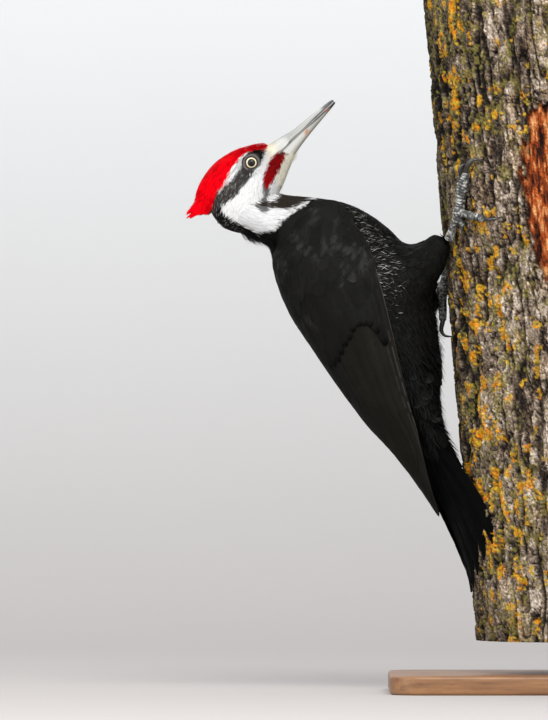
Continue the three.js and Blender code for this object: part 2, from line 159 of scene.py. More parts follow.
def lattice_value(cells: Array, seed: int) -> Array:
    """A fixed random value from 0 to 1 for each whole-numbered cell, its places mixed by large primes."""
    primes = (73856093, 19349663, 83492791)
    mixed = np.full(cells.shape[:-1], seed * 2654435761 % 2**32, np.uint64)
    for axis in range(cells.shape[-1]):
        mixed ^= (cells[..., axis].astype(np.int64) * primes[axis]).astype(np.uint64) & np.uint64(0xFFFFFFFF)
    mixed = (mixed ^ (mixed >> np.uint64(15))) * np.uint64(2246822519) & np.uint64(0xFFFFFFFF)
    mixed = (mixed ^ (mixed >> np.uint64(13))) * np.uint64(3266489917) & np.uint64(0xFFFFFFFF)
    return (mixed ^ (mixed >> np.uint64(16))).astype(float) / 2**32


def value_noise(places: Array, seed: int) -> Array:
    """Soft noise from 0 to 1: random values at whole numbers, blended between them along each axis."""
    cell = np.floor(places)
    f = places - cell
    f = f * f * (3 - 2 * f)
    axes = places.shape[-1]
    total = np.zeros(places.shape[:-1])
    for corner in range(2**axes):
        step = np.array([(corner >> axis) & 1 for axis in range(axes)])
        weight = np.prod(np.where(step == 1, f, 1 - f), axis=-1)
        total += weight * lattice_value(cell + step, seed)
    return total


def layered_noise(places: Array, seed: int, layers: int = 4) -> Array:
    """Noise from 0 to 1 with finer and fainter layers added, each twice as fine and half as strong."""
    strengths = 0.5 ** np.arange(layers)
    total = sum(s * value_noise(places * 2**k, seed + k) for k, s in enumerate(strengths))
    return total / strengths.sum()


def cells_2d(places: Array, seed: int) -> tuple[Array, Array, Array]:
    """Distances to the nearest and second nearest of one jittered point in each whole-numbered cell.

    Args:
        places: where to measure, two numbers each.
        seed: which set of points.

    Returns:
        The nearest distance, the second nearest, and a random value for the nearest point's cell.
    """
    home = np.floor(places)
    nearest = np.full(places.shape[:-1], 9.0)
    second = np.full(places.shape[:-1], 9.0)
    value = np.zeros(places.shape[:-1])
    for dx in (-1, 0, 1):
        for dy in (-1, 0, 1):
            cell = home + (dx, dy)
            jitter = np.stack([lattice_value(cell, seed), lattice_value(cell, seed + 7)], -1)
            distance = np.linalg.norm(cell + 0.1 + 0.8 * jitter - places, axis=-1)
            closer = distance < nearest
            second = np.where(closer, nearest, np.minimum(second, distance))
            value = np.where(closer, lattice_value(cell, seed + 13), value)
            nearest = np.where(closer, distance, nearest)
    return nearest, second, value


# ---- meshes
@dataclass
class Patch:
    """Corners and faces of one or more closed forms, with what each corner carries."""

    points: Array
    faces: list[Array]
    maps: dict[str, Array] = field(default_factory=dict)
    paint: Array | None = None


def join(patches: Sequence[Patch]) -> Patch:
    """Several patches as one. All carry the same maps."""
    starts = np.cumsum([0] + [len(p.points) for p in patches[:-1]])
    first = patches[0]
    return Patch(
        points=np.concatenate([p.points for p in patches]),
        faces=[face + start for p, start in zip(patches, starts) for face in p.faces],
        maps={name: np.concatenate([p.maps[name] for p in patches]) for name in first.maps},
        paint=None if first.paint is None else np.concatenate([p.paint for p in patches]),
    )


def fill_mesh(name: str, patch: Patch) -> Mesh:
    """A mesh from a patch.

    Args:
        name: the mesh's name.
        patch: its corners, faces, maps and colours.

    Returns:
        The new mesh.
    """
    mesh = bpy.data.meshes.new(name)
    sizes = np.concatenate([np.full(len(f), f.shape[1], np.int32) for f in patch.faces])
    corners = np.concatenate([f.ravel() for f in patch.faces]).astype(np.int32)
    mesh.vertices.add(len(patch.points))
    mesh.vertices.foreach_set("co", patch.points.astype(np.float32).ravel())
    mesh.loops.add(len(corners))
    mesh.loops.foreach_set("vertex_index", corners)
    mesh.polygons.add(len(sizes))
    mesh.polygons.foreach_set("loop_start", np.cumsum(np.concatenate([[0], sizes[:-1]])).astype(np.int32))
    mesh.polygons.foreach_set("loop_total", sizes)
    mesh.polygons.foreach_set("use_smooth", np.ones(len(sizes), bool))
    mesh.update(calc_edges=True)
    for map_name, places in patch.maps.items():
        layer = mesh.uv_layers.new(name=map_name)
        layer.data.foreach_set("uv", places[corners].astype(np.float32).ravel())
    if patch.paint is not None:
        paint_mesh(mesh, patch.paint)
    return mesh


def paint_mesh(mesh: Mesh, colours: Array) -> None:
    """Stores a colour for each corner of a mesh."""
    rgba = np.concatenate([colours, np.ones((len(colours), 1))], 1)
    paint = mesh.attributes.new("Markings", "FLOAT_COLOR", "POINT")
    paint.data.foreach_set("color", rgba.astype(np.float32).ravel())


def add_object(name: str, data: bpy.types.ID) -> Object:
    """A new object in the scene."""
    made = bpy.data.objects.new(name, data)
    bpy.context.scene.collection.objects.link(made)
    return made


def add_piece(
    name: str,
    patch: Patch,
    finish: Material,
    slot: str,
    replaces: Sequence[str] = (),
    crease: float = 0.0,
) -> Object:
    """Adds a piece of the model.

    Args:
        name: the piece's name.
        patch: its shape, in place.
        finish: its material.
        slot: the record's material slot of the piece; not used.
        replaces: the frame's nodes that it stands for.
        crease: the angle in degrees past which an edge stays sharp, or 0 for none.

    Returns:
        The new object.
    """
    mesh = fill_mesh(name, patch)
    if crease:
        mesh.set_sharp_from_angle(angle=math.radians(crease))
    return finish_piece(name, mesh, finish, slot, replaces)


def finish_piece(
    name: str, mesh: Mesh, finish: Material, slot: str, replaces: Sequence[str] = ()
) -> Object:
    """Links a finished mesh as a piece that rides on the model's one body."""
    made = add_object(name, mesh)
    mesh.materials.append(finish)
    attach(made, "root")
    if replaces:
        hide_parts(*replaces)
    log.info("%s: %d faces", name, len(mesh.polygons))
    return made


def grid_faces(rows: int, columns: int, wrap: bool) -> Array:
    """Four-cornered faces of a grid of points stored row by row."""
    across = columns if wrap else columns - 1
    row, column = np.meshgrid(np.arange(rows - 1), np.arange(across), indexing="ij")
    here = row * columns + column
    beside = row * columns + (column + 1) % columns
    return np.stack([here, beside, beside + columns, here + columns], -1).reshape(-1, 4)


def closed_rings(rings: Array, maps: dict[str, Array] | None = None) -> Patch:
    """A closed form from rings of points, with a pole in the middle of each end.

    Args:
        rings: the points, ring by ring: rings, points round each, xyz.
        maps: values for each ring point that the poles average.

    Returns:
        The form, its faces turned to point out.
    """
    count, around, _ = rings.shape
    poles = rings[[0, -1]].mean(1)
    points = np.concatenate([rings.reshape(-1, 3), poles])
    step = np.arange(around)
    following = (step + 1) % around
    last = (count - 1) * around
    first_pole = np.full(around, count * around)
    caps = [
        np.stack([step, first_pole, following], -1),
        np.stack([last + step, last + following, first_pole + 1], -1),
    ]
    quads = grid_faces(count, around, True)
    a, b, c, d = (points[quads[:, k]] for k in range(4))
    middle = rings.mean(1)[quads[:, 0] // around]
    outward = np.einsum("ij,ij->i", np.cross(c - a, d - b), (a + b + c + d) / 4 - middle).sum()
    faces = [quads, *caps]
    if outward < 0:
        faces = [face[:, ::-1] for face in faces]
    carried = {}
    for name, values in (maps or {}).items():
        carried[name] = np.concatenate([values.reshape(-1, values.shape[-1]), values[[0, -1]].mean(1)])
    return Patch(points, faces, carried)


# ---- forms
class Form:
    """A surface in two parameters, t along it and w round or across it, both from 0 to 1."""

    followed: Pair = (0.0, 1.0)

    def place(self, t: Array, w: Array) -> Array:
        """The surface's points at t and w."""
        raise NotImplementedError

    def core(self, t: Array) -> Array:
        """A point inside the form beside t, which tells its outside from its inside."""
        raise NotImplementedError

    def solid(self, around: int, along: int) -> Patch:
        """The form as a closed mesh."""
        t = np.linspace(0.004, 0.996, along)
        return closed_rings(self.place(*np.meshgrid(t, np.arange(around) / around, indexing="ij")))

    def frame(self, t: Array, w: Array) -> tuple[Array, Array, Array, Array, Array, Array]:
        """Points and directions on the surface. Past `followed` it runs straight on.

        Args:
            t: along the surface.
            w: round or across it.

        Returns:
            Points, unit vectors along t, along w and outwards, and the lengths of a whole t and a whole w.
        """
        step = 1e-3
        held = np.clip(t, *self.followed)
        here = self.place(held, w)
        ahead, behind = np.clip(held + step, 0, 1), np.clip(held - step, 0, 1)
        along = (self.place(ahead, w) - self.place(behind, w)) / (2 * step)
        across = (self.place(held, w + step) - self.place(held, w - step)) / (2 * step)
        outward = unit(np.cross(along, across))
        facing = np.sign(np.einsum("...i,...i->...", outward, here - self.core(held)))[..., None]
        here = here + along * (t - held)[..., None]
        return (
            here,
            unit(along),
            unit(across),
            outward * np.where(facing == 0, 1, facing),
            np.linalg.norm(along, axis=-1),
            np.linalg.norm(across, axis=-1),
        )


HEAD_PITCH = math.radians(42.5)


@dataclass(frozen=True)
class HeadFrame:
    """The head's own frame: u along the bill and v square to it towards the crown, from the eye's middle."""

    eye_x: float
    eye_z: float

    def places(self, u: Array, v: Array) -> Array:
        """x and z of places in the head's frame."""
        c, s = math.cos(HEAD_PITCH), math.sin(HEAD_PITCH)
        return np.stack([self.eye_x + u * c - v * s, self.eye_z + u * s + v * c], -1)

    def read(self, points: Array) -> tuple[Array, Array]:
        """u and v of points."""
        dx, dz = points[..., 0] - self.eye_x, points[..., 2] - self.eye_z
        c, s = math.cos(HEAD_PITCH), math.sin(HEAD_PITCH)
        return dx * c + dz * s, dz * c - dx * s

    def rows(self, rows: Sequence[Sequence[float]]) -> Array:
        """Rows of u, top v, bottom v, half width in millimetres as back and belly lines in metres."""
        table = np.array(rows, float) * MM
        back = self.places(table[:, 0], table[:, 1])
        belly = self.places(table[:, 0], table[:, 2])
        return np.concatenate([back, belly, table[:, 3:]], 1)


@dataclass(frozen=True)
class Loft(Form):
    """A round form whose rings run from a back line to a belly line in the middle plane."""

    rows: Array
    start_cap: float = 0.12
    end_cap: float = 0.12
    widest: float = 0.5
    followed: Pair = (0.02, 0.94)

    def sections(self, t: Array) -> tuple[Array, Array, Array, Array]:
        """The back point, belly point, half width and fullness of the rings at t."""
        row = read_rows(self.rows, eased(t))
        full = round_ends(t, self.start_cap, self.end_cap)
        return in_plane(row, 0), in_plane(row, 2), row[..., 4], full

    def place(self, t: Array, w: Array) -> Array:
        """Half ellipses from the widest line to back and belly; w is 0 at the back and 0.25 at the left."""
        back, belly, half_width, full = self.sections(t)
        angle = 2 * np.pi * w
        middle = back + (belly - back) * self.widest
        edge = np.where((np.cos(angle) > 0)[..., None], back, belly) - middle
        points = middle + edge * (full * np.abs(np.cos(angle)))[..., None]
        points[..., 1] = half_width * full * np.sin(angle)
        return points

    def core(self, t: Array) -> Array:
        """The middle of the ring at t."""
        back, belly, _, _ = self.sections(t)
        return back + (belly - back) * self.widest

    def inset(self, depth: float) -> "Loft":
        """The same form, thinner by a depth all round."""
        rows = self.rows.copy()
        across = rows[:, 2:4] - rows[:, 0:2]
        size = np.linalg.norm(across, axis=1, keepdims=True)
        shift = across / size * np.minimum(depth, 0.35 * size)
        rows[:, 0:2] += shift
        rows[:, 2:4] -= shift
        rows[:, 4] = np.maximum(rows[:, 4] - depth, 0.35 * rows[:, 4])
        return Loft(rows, self.start_cap, self.end_cap, self.widest, self.followed)

    def holds(self, points: Array) -> Array:
        """How far inside points lie, as a share of the nearest section: 1 on its middle, below 0 outside."""
        t = np.linspace(0.01, 0.99, 120)
        back, belly, half_width, full = self.sections(t)
        across = unit(belly - back)
        forward = np.stack([-across[:, 2], np.zeros(len(t)), across[:, 0]], -1)
        middle = back + (belly - back) * self.widest
        offset = points[:, None, :] - middle[None]
        aside = np.abs(np.einsum("nki,ki->nk", offset, forward))
        along = np.einsum("nki,ki->nk", offset, across)
        above, below = np.linalg.norm(middle - back, axis=1), np.linalg.norm(belly - middle, axis=1)
        sizes = np.where(along < 0, above, below)
        radius = np.hypot(along / (sizes * full), offset[..., 1] / (half_width * full))
        spacing = 1.2 * np.linalg.norm(np.diff(middle, axis=0), axis=1).max()
        return np.where(aside < spacing, 1 - radius, -1.0).max(1)


@dataclass(frozen=True)
class Tube(Form):
    """A round tube along a smooth line, its radius read along it."""

    points: Array
    radii: Array
    start_cap: float = 0.1
    end_cap: float = 0.1
    followed: Pair = (0.02, 0.97)
    sideways: Triple = (0.13, 0.97, 0.21)

    def middle(self, t: Array) -> Array:
        """The tube's middle line."""
        return read_rows(self.points, t)

    def place(self, t: Array, w: Array) -> Array:
        """Circles square to the line; w turns round it."""
        s = eased(t) if self.end_cap > 0 else t
        step = 1e-3
        tangent = unit(self.middle(np.clip(s + step, 0, 1)) - self.middle(np.clip(s - step, 0, 1)))
        one = unit(np.cross(tangent, np.array(self.sideways)))
        two = np.cross(tangent, one)
        radius = read_rows(self.radii[:, None], s)[..., 0]
        radius = radius * round_ends(t, self.start_cap, max(self.end_cap, 1e-6))
        angle = 2 * np.pi * w
        return (
            self.middle(s)
            + one * (radius * np.cos(angle))[..., None]
            + two * (radius * np.sin(angle))[..., None]
        )

    def core(self, t: Array) -> Array:
        """The middle line's point."""
        return self.middle(eased(t) if self.end_cap > 0 else t)

    def inset(self, depth: float) -> "Tube":
        """The same tube, thinner by a depth."""
        radii = np.maximum(self.radii - depth, 0.4 * self.radii)
        return Tube(self.points, radii, self.start_cap, self.end_cap)

    def gap(self, points: Array) -> Array:
        """How far outside the tube points lie, in metres: below 0 inside."""
        t = np.linspace(0, 1, 40)
        radius = read_rows(self.radii[:, None], t)[:, 0]
        distance = np.linalg.norm(points[..., None, :] - self.middle(t), axis=-1)
        return (distance - radius).min(-1)


@dataclass(frozen=True)
class Draped(Form):
    """A loft raised where tubes lie under it, so that feathers run over both without a crease."""

    base: Loft
    tubes: tuple[Tube, ...]
    blend: float = 15 * MM
    most: float = 30 * MM
    followed: Pair = (0.02, 0.94)

    @cached_property
    def raised(self) -> Array:
        """How far the surface stands off the loft, over an even grid of t and w.

        From the loft each ray steps outwards until it leaves the soft union of the loft and the tubes. The
        union's distance is the least of both, and where they nearly tie it is lowered by
        (blend - difference)² / (4 blend).
        """
        t, w = np.meshgrid(np.linspace(0, 1, 120), np.arange(128) / 128, indexing="ij")
        points = self.base.place(t, w)
        outward = unit(points - self.base.core(t))
        height = np.zeros(t.shape)
        for _ in range(18):
            least = height
            for tube in self.tubes:
                other = tube.gap(points + outward * height[..., None])
                near = np.clip(self.blend - np.abs(least - other), 0, None)
                least = np.minimum(least, other) - near**2 / (4 * self.blend)
            height = np.clip(height - least, 0, self.most)
        return height

    def place(self, t: Array, w: Array) -> Array:
        """The loft's points, moved outwards by the height read between the grid's corners."""
        table = self.raised[..., None]
        rows, columns = self.raised.shape
        x = np.clip(t, 0, 1) * (rows - 1)
        y = np.mod(w, 1) * columns
        i = np.minimum(x.astype(int), rows - 2)
        j = y.astype(int) % columns
        first = mix(table[i, j], table[i + 1, j], x - i)
        second = mix(table[i, (j + 1) % columns], table[i + 1, (j + 1) % columns], x - i)
        points = self.base.place(t, w)
        return points + unit(points - self.base.core(t)) * mix(first, second, y - np.floor(y))

    def core(self, t: Array) -> Array:
        """The loft's middle line."""
        return self.base.core(t)

    def inset(self, depth: float) -> "Draped":
        """The same form, thinner by a depth."""
        tubes = tuple(tube.inset(depth) for tube in self.tubes)
        return Draped(self.base.inset(depth), tubes, self.blend, self.most)

    def holds(self, points: Array) -> Array:
        """How far inside the loft points lie."""
        return self.base.holds(points)


@dataclass(frozen=True)
class WingShell(Form):
    """The outside of a folded wing: a shell on the bird's elliptical section, from back to flank."""

    rows: Array
    side: Side
    followed: Pair = (0.01, 0.985)

    def shell(self, t: Array, w: Array, inset: float) -> Array:
        """The shell's points, set in by a depth; w turns from the dorsal edge, 0, to the ventral one, 1."""
        row = read_rows(self.rows, eased(t))
        dorsal, ventral = in_plane(row, 0), in_plane(row, 2)
        half_width, share, half_gap = row[..., 4], row[..., 5], row[..., 6]
        start = np.arcsin(np.clip(half_gap / half_width, 0, 1))
        end = np.arccos(np.clip(1 - 2 * share, -1, 1))
        angle = start + (end - start) * w
        depth = ventral - dorsal
        half_depth = np.linalg.norm(depth, axis=-1) / (2 * share)
        reach = half_depth - np.cos(angle) * (half_depth - inset)
        points = dorsal + unit(depth) * reach[..., None]
        points[..., 1] = self.side.value * (half_width - inset) * np.sin(angle)
        return points

    def place(self, t: Array, w: Array) -> Array:
        """The outermost points of the wing's feathers."""
        return self.shell(t, w, 0.0)

    def core(self, t: Array) -> Array:
        """A point well inside the bird beside t."""
        return self.shell(t, np.full(np.shape(t), 0.6), 0.012) * (1, 0.2, 1)

    def slab(self, skin: float, depth: float, end: float) -> Patch:
        """The flesh of the wing, a closed slab between two depths, as far as `end` along it."""
        t = np.linspace(0.03, end, 40)
        w = np.linspace(0.03, 0.97, 16)
        grid = np.meshgrid(t, w, indexing="ij")
        outer = self.shell(*grid, skin)
        inner = self.shell(*grid, depth)[:, ::-1]
        return closed_rings(np.concatenate([outer, inner], 1))

    def covers(self, points: Array) -> Array:
        """How far under the wing points lie: the share across it from the nearer edge, below 0 outside."""
        t = np.linspace(0.0, 0.99, 120)
        row = read_rows(self.rows, eased(t))
        dorsal, ventral = row[:, 0:2], row[:, 2:4]
        depth = ventral - dorsal
        size = np.linalg.norm(depth, axis=1)
        across = depth / size[:, None]
        forward = np.stack([-across[:, 1], across[:, 0]], -1)
        offset = points[:, None, [0, 2]] - dorsal[None]
        aside = np.abs(np.einsum("nki,ki->nk", offset, forward))
        share = np.einsum("nki,ki->nk", offset, across) / size
        inside = np.minimum(share, 1 - share)
        beside = np.abs(points[:, 1:2]) - row[None, :, 6]
        near = (aside < 0.004) & (beside > 0) & (np.sign(points[:, 1:2]) == self.side.value)
        return np.where(near, inside, -1.0).max(1)


# ---- tufts and feathers
class Section(Enum):
    """A tuft cut across: each corner's place aside, in half widths, and its height, in thicknesses."""

    LOCK = ((-1.0, 0.0), (0.0, 1.0), (1.0, 0.0))
    VANE = ((-1.0, 0.0), (-0.5, 0.75), (0.0, 1.0), (0.5, 0.75), (1.0, 0.0), (0.0, -0.3))
    FLIGHT = (
        (-1.0, 0.0), (-0.72, 0.5), (-0.4, 0.7), (-0.1, 0.75), (0.0, 1.2), (0.1, 0.75), (0.4, 0.7),
        (0.72, 0.5), (1.0, 0.0), (0.5, -0.4), (0.0, -0.8), (-0.5, -0.4),
    )


@dataclass(frozen=True)
class Cut:
    """The cut of one sort of tuft: its section, its rings by their share of the length, its outline."""

    section: Section
    stations: tuple[float, ...]
    tip: float
    thickness: float
    cup: float = 0.2
    rise: float = 1.0
    wrapped: bool = False
    tilt: float = 0.0

    def half_width(self, share: Array) -> Array:
        """The outline: it widens over the first third and rounds off over the tip's share."""
        past = np.clip((share - 1 + self.tip) / self.tip, 0, 1)
        return np.minimum(1, 0.4 + 1.8 * share) * np.sqrt(1 - past**2)


@dataclass
class Roots:
    """Where tufts grow on a form and how each one lies there."""

    t: Array
    w: Array
    turn: Array
    length: Array
    width: Array
    depth: Array
    lift: Array


@dataclass
class Tufts:
    """Grown tufts: each corner's tuft, its share of the length and the half width, and each tuft's end."""

    patch: Patch
    root: Array
    share: Array
    across: Array
    ends: Array


def grow(form: Form, roots: Roots, cut: Cut) -> Tufts:
    """Grows tufts on a form.

    Each tuft's middle line starts at its root and crosses the form at the tuft's turn, rising from its
    root's depth to its tip's lift. Rings of the cut's section stand on it, and the last one closes to a
    point.

    Args:
        form: the surface they grow on.
        roots: where they start and how each lies.
        cut: their shape.

    Returns:
        The tufts. Each is a small patch at its root's place on the unwrap, and "Vane" measures it in metres.
    """
    count, rings, around = len(roots.t), len(cut.stations), len(cut.section.value)
    shares = np.array(cut.stations + (1.0,))
    across, up = np.array(cut.section.value).T
    _, _, _, _, whole_t, whole_w = form.frame(roots.t, roots.w)
    forward, aside = np.cos(roots.turn), np.sin(roots.turn)
    t = roots.t[:, None] + (forward * roots.length / whole_t)[:, None] * shares
    w = roots.w[:, None] + (aside * roots.length / whole_w)[:, None] * shares
    here, along, sideways, outward, _, whole = form.frame(t, w)
    heading = unit(along * forward[:, None, None] + sideways * aside[:, None, None])
    beside = np.cross(outward, heading)
    height = -roots.depth[:, None] + (roots.depth + roots.lift)[:, None] * shares**cut.rise
    half = roots.width[:, None] * cut.half_width(shares)
    thick = cut.thickness * np.minimum(1, 2.5 * (1.02 - shares)) * np.minimum(1, 0.4 + 3 * shares)
    rise = thick[:, None] * up + half[:, :, None] * (cut.tilt * across - cut.cup * across**2)
    if cut.wrapped:
        step = half[:, :-1, None] * across / whole[:, :-1, None] * np.sign(
            np.einsum("nki,nki->nk", beside, sideways)
        )[:, :-1, None]
        wide_t = np.broadcast_to(t[:, :-1, None], step.shape)
        wide_w = np.clip(w[:, :-1, None] + step, 0, 1)
        body, _, _, out, _, _ = form.frame(wide_t, wide_w)
        corners = body + out * (height[:, :-1, None] + rise[:, :-1])[..., None]
    else:
        middle = here + outward * height[..., None]
        corners = middle[:, :-1, None] + beside[:, :-1, None] * (half[:, :-1, None] * across)[..., None]
        corners = corners + outward[:, :-1, None] * rise[:, :-1, :, None]
    tip = (here + outward * height[..., None])[:, -1]
    size = rings * around + 1
    points = np.concatenate([corners.reshape(count, -1, 3), tip[:, None]], 1).reshape(-1, 3)
    quads = grid_faces(rings, around, True)[:, ::-1]
    step = np.arange(around)
    last = (rings - 1) * around
    point = np.full(around, rings * around)
    tips = np.stack([last + step, point, last + (step + 1) % around], -1)
    offsets = (np.arange(count) * size)[:, None, None]
    butt = np.arange(around)[None]
    faces = [(face[None] + offsets).reshape(-1, face.shape[1]) for face in (quads, tips, butt)]
    share = np.tile(np.concatenate([np.repeat(shares[:-1], around), [1.0]]), count)
    side = np.tile(np.concatenate([np.tile(across, rings), [0.0]]), count)
    root = np.repeat(np.arange(count), size)
    home = np.stack([np.mod(roots.w, 1), np.clip(roots.t, 0, 1)], -1)[root]
    spot = home + np.stack([0.0015 * side, 0.003 * (share - 0.5)], -1)
    vane = np.stack([side * roots.width[root], share * roots.length[root]], -1)
    grown = Patch(points, faces, {"OFBake": np.clip(spot, 0.001, 0.999), "Vane": vane})
    return Tufts(grown, root, share, side, 0.3 * here[:, -2] + 0.7 * here[:, -1])


def paint_tufts(
    tufts: Tufts, base: Array, tip: Array, fringe: Pair = (0.72, 0.98), shadow: float = 0.2
) -> Patch:
    """Colours tufts.

    Args:
        tufts: the tufts.
        base: each tuft's colour.
        tip: each tuft's colour at its very tip.
        fringe: the shares of the length between which the one turns into the other.
        shadow: how much darker the roots are.

    Returns:
        The tufts' patch with its colours, darker towards the roots.
    """
    share = ramp(*fringe, tufts.share)
    colours = mix(base[tufts.root], tip[tufts.root], share)
    buried = 1 - np.clip(tufts.share * 1.6, 0, 1)
    tufts.patch.paint = np.clip(colours * (1 - shadow * buried)[:, None], 0, 1)
    return tufts.patch


def in_rows(
    form: Form, span_t: Pair, span_w: Pair, step: Pair, jitter: float, seed: int
) -> tuple[Array, Array]:
    """Places in staggered rows, as feathers grow.

    Args:
        form: the surface.
        span_t: the stretch along it.
        span_w: the stretch round it.
        step: metres from row to row, and between neighbours in a row.
        jitter: the scatter of each place, as a share of the steps.
        seed: the scatter's seed.

    Returns:
        t and w of the places.
    """
    random = dice(seed)
    fine_t = np.linspace(*span_t, 200)
    middle = form.place(fine_t, np.full(200, np.mean(span_w)))
    run = np.concatenate([[0], np.cumsum(np.linalg.norm(np.diff(middle, axis=0), axis=1))])
    rows = np.interp(np.arange(0, run[-1], step[0]), run, fine_t)
    fine_w = np.linspace(*span_w, 80)
    found = []
    for index, t in enumerate(rows):
        line = form.place(np.full(80, t), fine_w)
        reach = np.concatenate([[0], np.cumsum(np.linalg.norm(np.diff(line, axis=0), axis=1))])
        count = int(reach[-1] / step[1])
        if count < 1:
            continue
        spots = (np.arange(count) + 0.25 + 0.5 * (index % 2)) / count * reach[-1]
        spots = spots + random.normal(0, jitter, count) * step[1]
        found.append(np.stack([np.full(count, t), np.interp(spots, reach, fine_w)]))
    t, w = np.concatenate(found, 1)
    per_metre = (span_t[1] - span_t[0]) / run[-1]
    return t + random.normal(0, jitter, len(t)) * step[0] * per_metre, w


def scattered(
    form: Form, span_t: Pair, span_w: Pair, spacing: float, seed: int
) -> tuple[Array, Array]:
    """Places spread evenly over a form, by a sequence that fills the plane without clumps.

    Args:
        form: the surface.
        span_t: the stretch along it.
        span_w: the stretch round it.
        spacing: metres between neighbours.
        seed: which of the sequence's places are kept.

    Returns:
        t and w of the places.
    """
    def area(t: Array, w: Array) -> Array:
        """The surface's area for each unit of t times w."""
        _, along, across, _, whole_t, whole_w = form.frame(t, w)
        return np.linalg.norm(np.cross(along, across), axis=-1) * whole_t * whole_w

    grid = np.meshgrid(np.linspace(*span_t, 60), np.linspace(*span_w, 60), indexing="ij")
    sizes = area(*grid)
    most = sizes.max()
    total = most * (span_t[1] - span_t[0]) * (span_w[1] - span_w[0])
    order = np.arange(1, int(total / spacing**2) + 1)
    t = span_t[0] + (span_t[1] - span_t[0]) * np.mod(0.5 + order * EVEN_STEPS[0], 1)
    w = span_w[0] + (span_w[1] - span_w[0]) * np.mod(0.5 + order * EVEN_STEPS[1], 1)
    keep = dice(seed).random(len(order)) < area(t, w) / most
    return t[keep], w[keep]


def downwards(w: Array) -> Array:
    """+1 where a growing w leads towards the belly and -1 where it leads towards the back."""
    return np.where(np.mod(w, 1) < 0.5, 1.0, -1.0)


# ---- markings
@dataclass(frozen=True)
class Stripe:
    """A marking along a line on the side of the head: u, v and half width of its corners, in millimetres."""

    corners: tuple[Triple, ...]

    def reach(self, u: Array, v: Array) -> Array:
        """How far inside the stripe places lie, in metres: its half width less their distance from it."""
        table = np.array(self.corners) * MM
        best = np.full(u.shape, -1.0)
        for (au, av, a_half), (bu, bv, b_half) in zip(table[:-1], table[1:]):
            du, dv = bu - au, bv - av
            share = np.clip(((u - au) * du + (v - av) * dv) / (du**2 + dv**2), 0, 1)
            distance = np.hypot(u - au - du * share, v - av - dv * share)
            best = np.maximum(best, a_half + (b_half - a_half) * share - distance)
        return best


def along_line(line: Line, x: Array) -> Array:
    """A border's second coordinate at its first, given in millimetres, in metres."""
    return np.interp(x, *(np.array(line).T * MM))


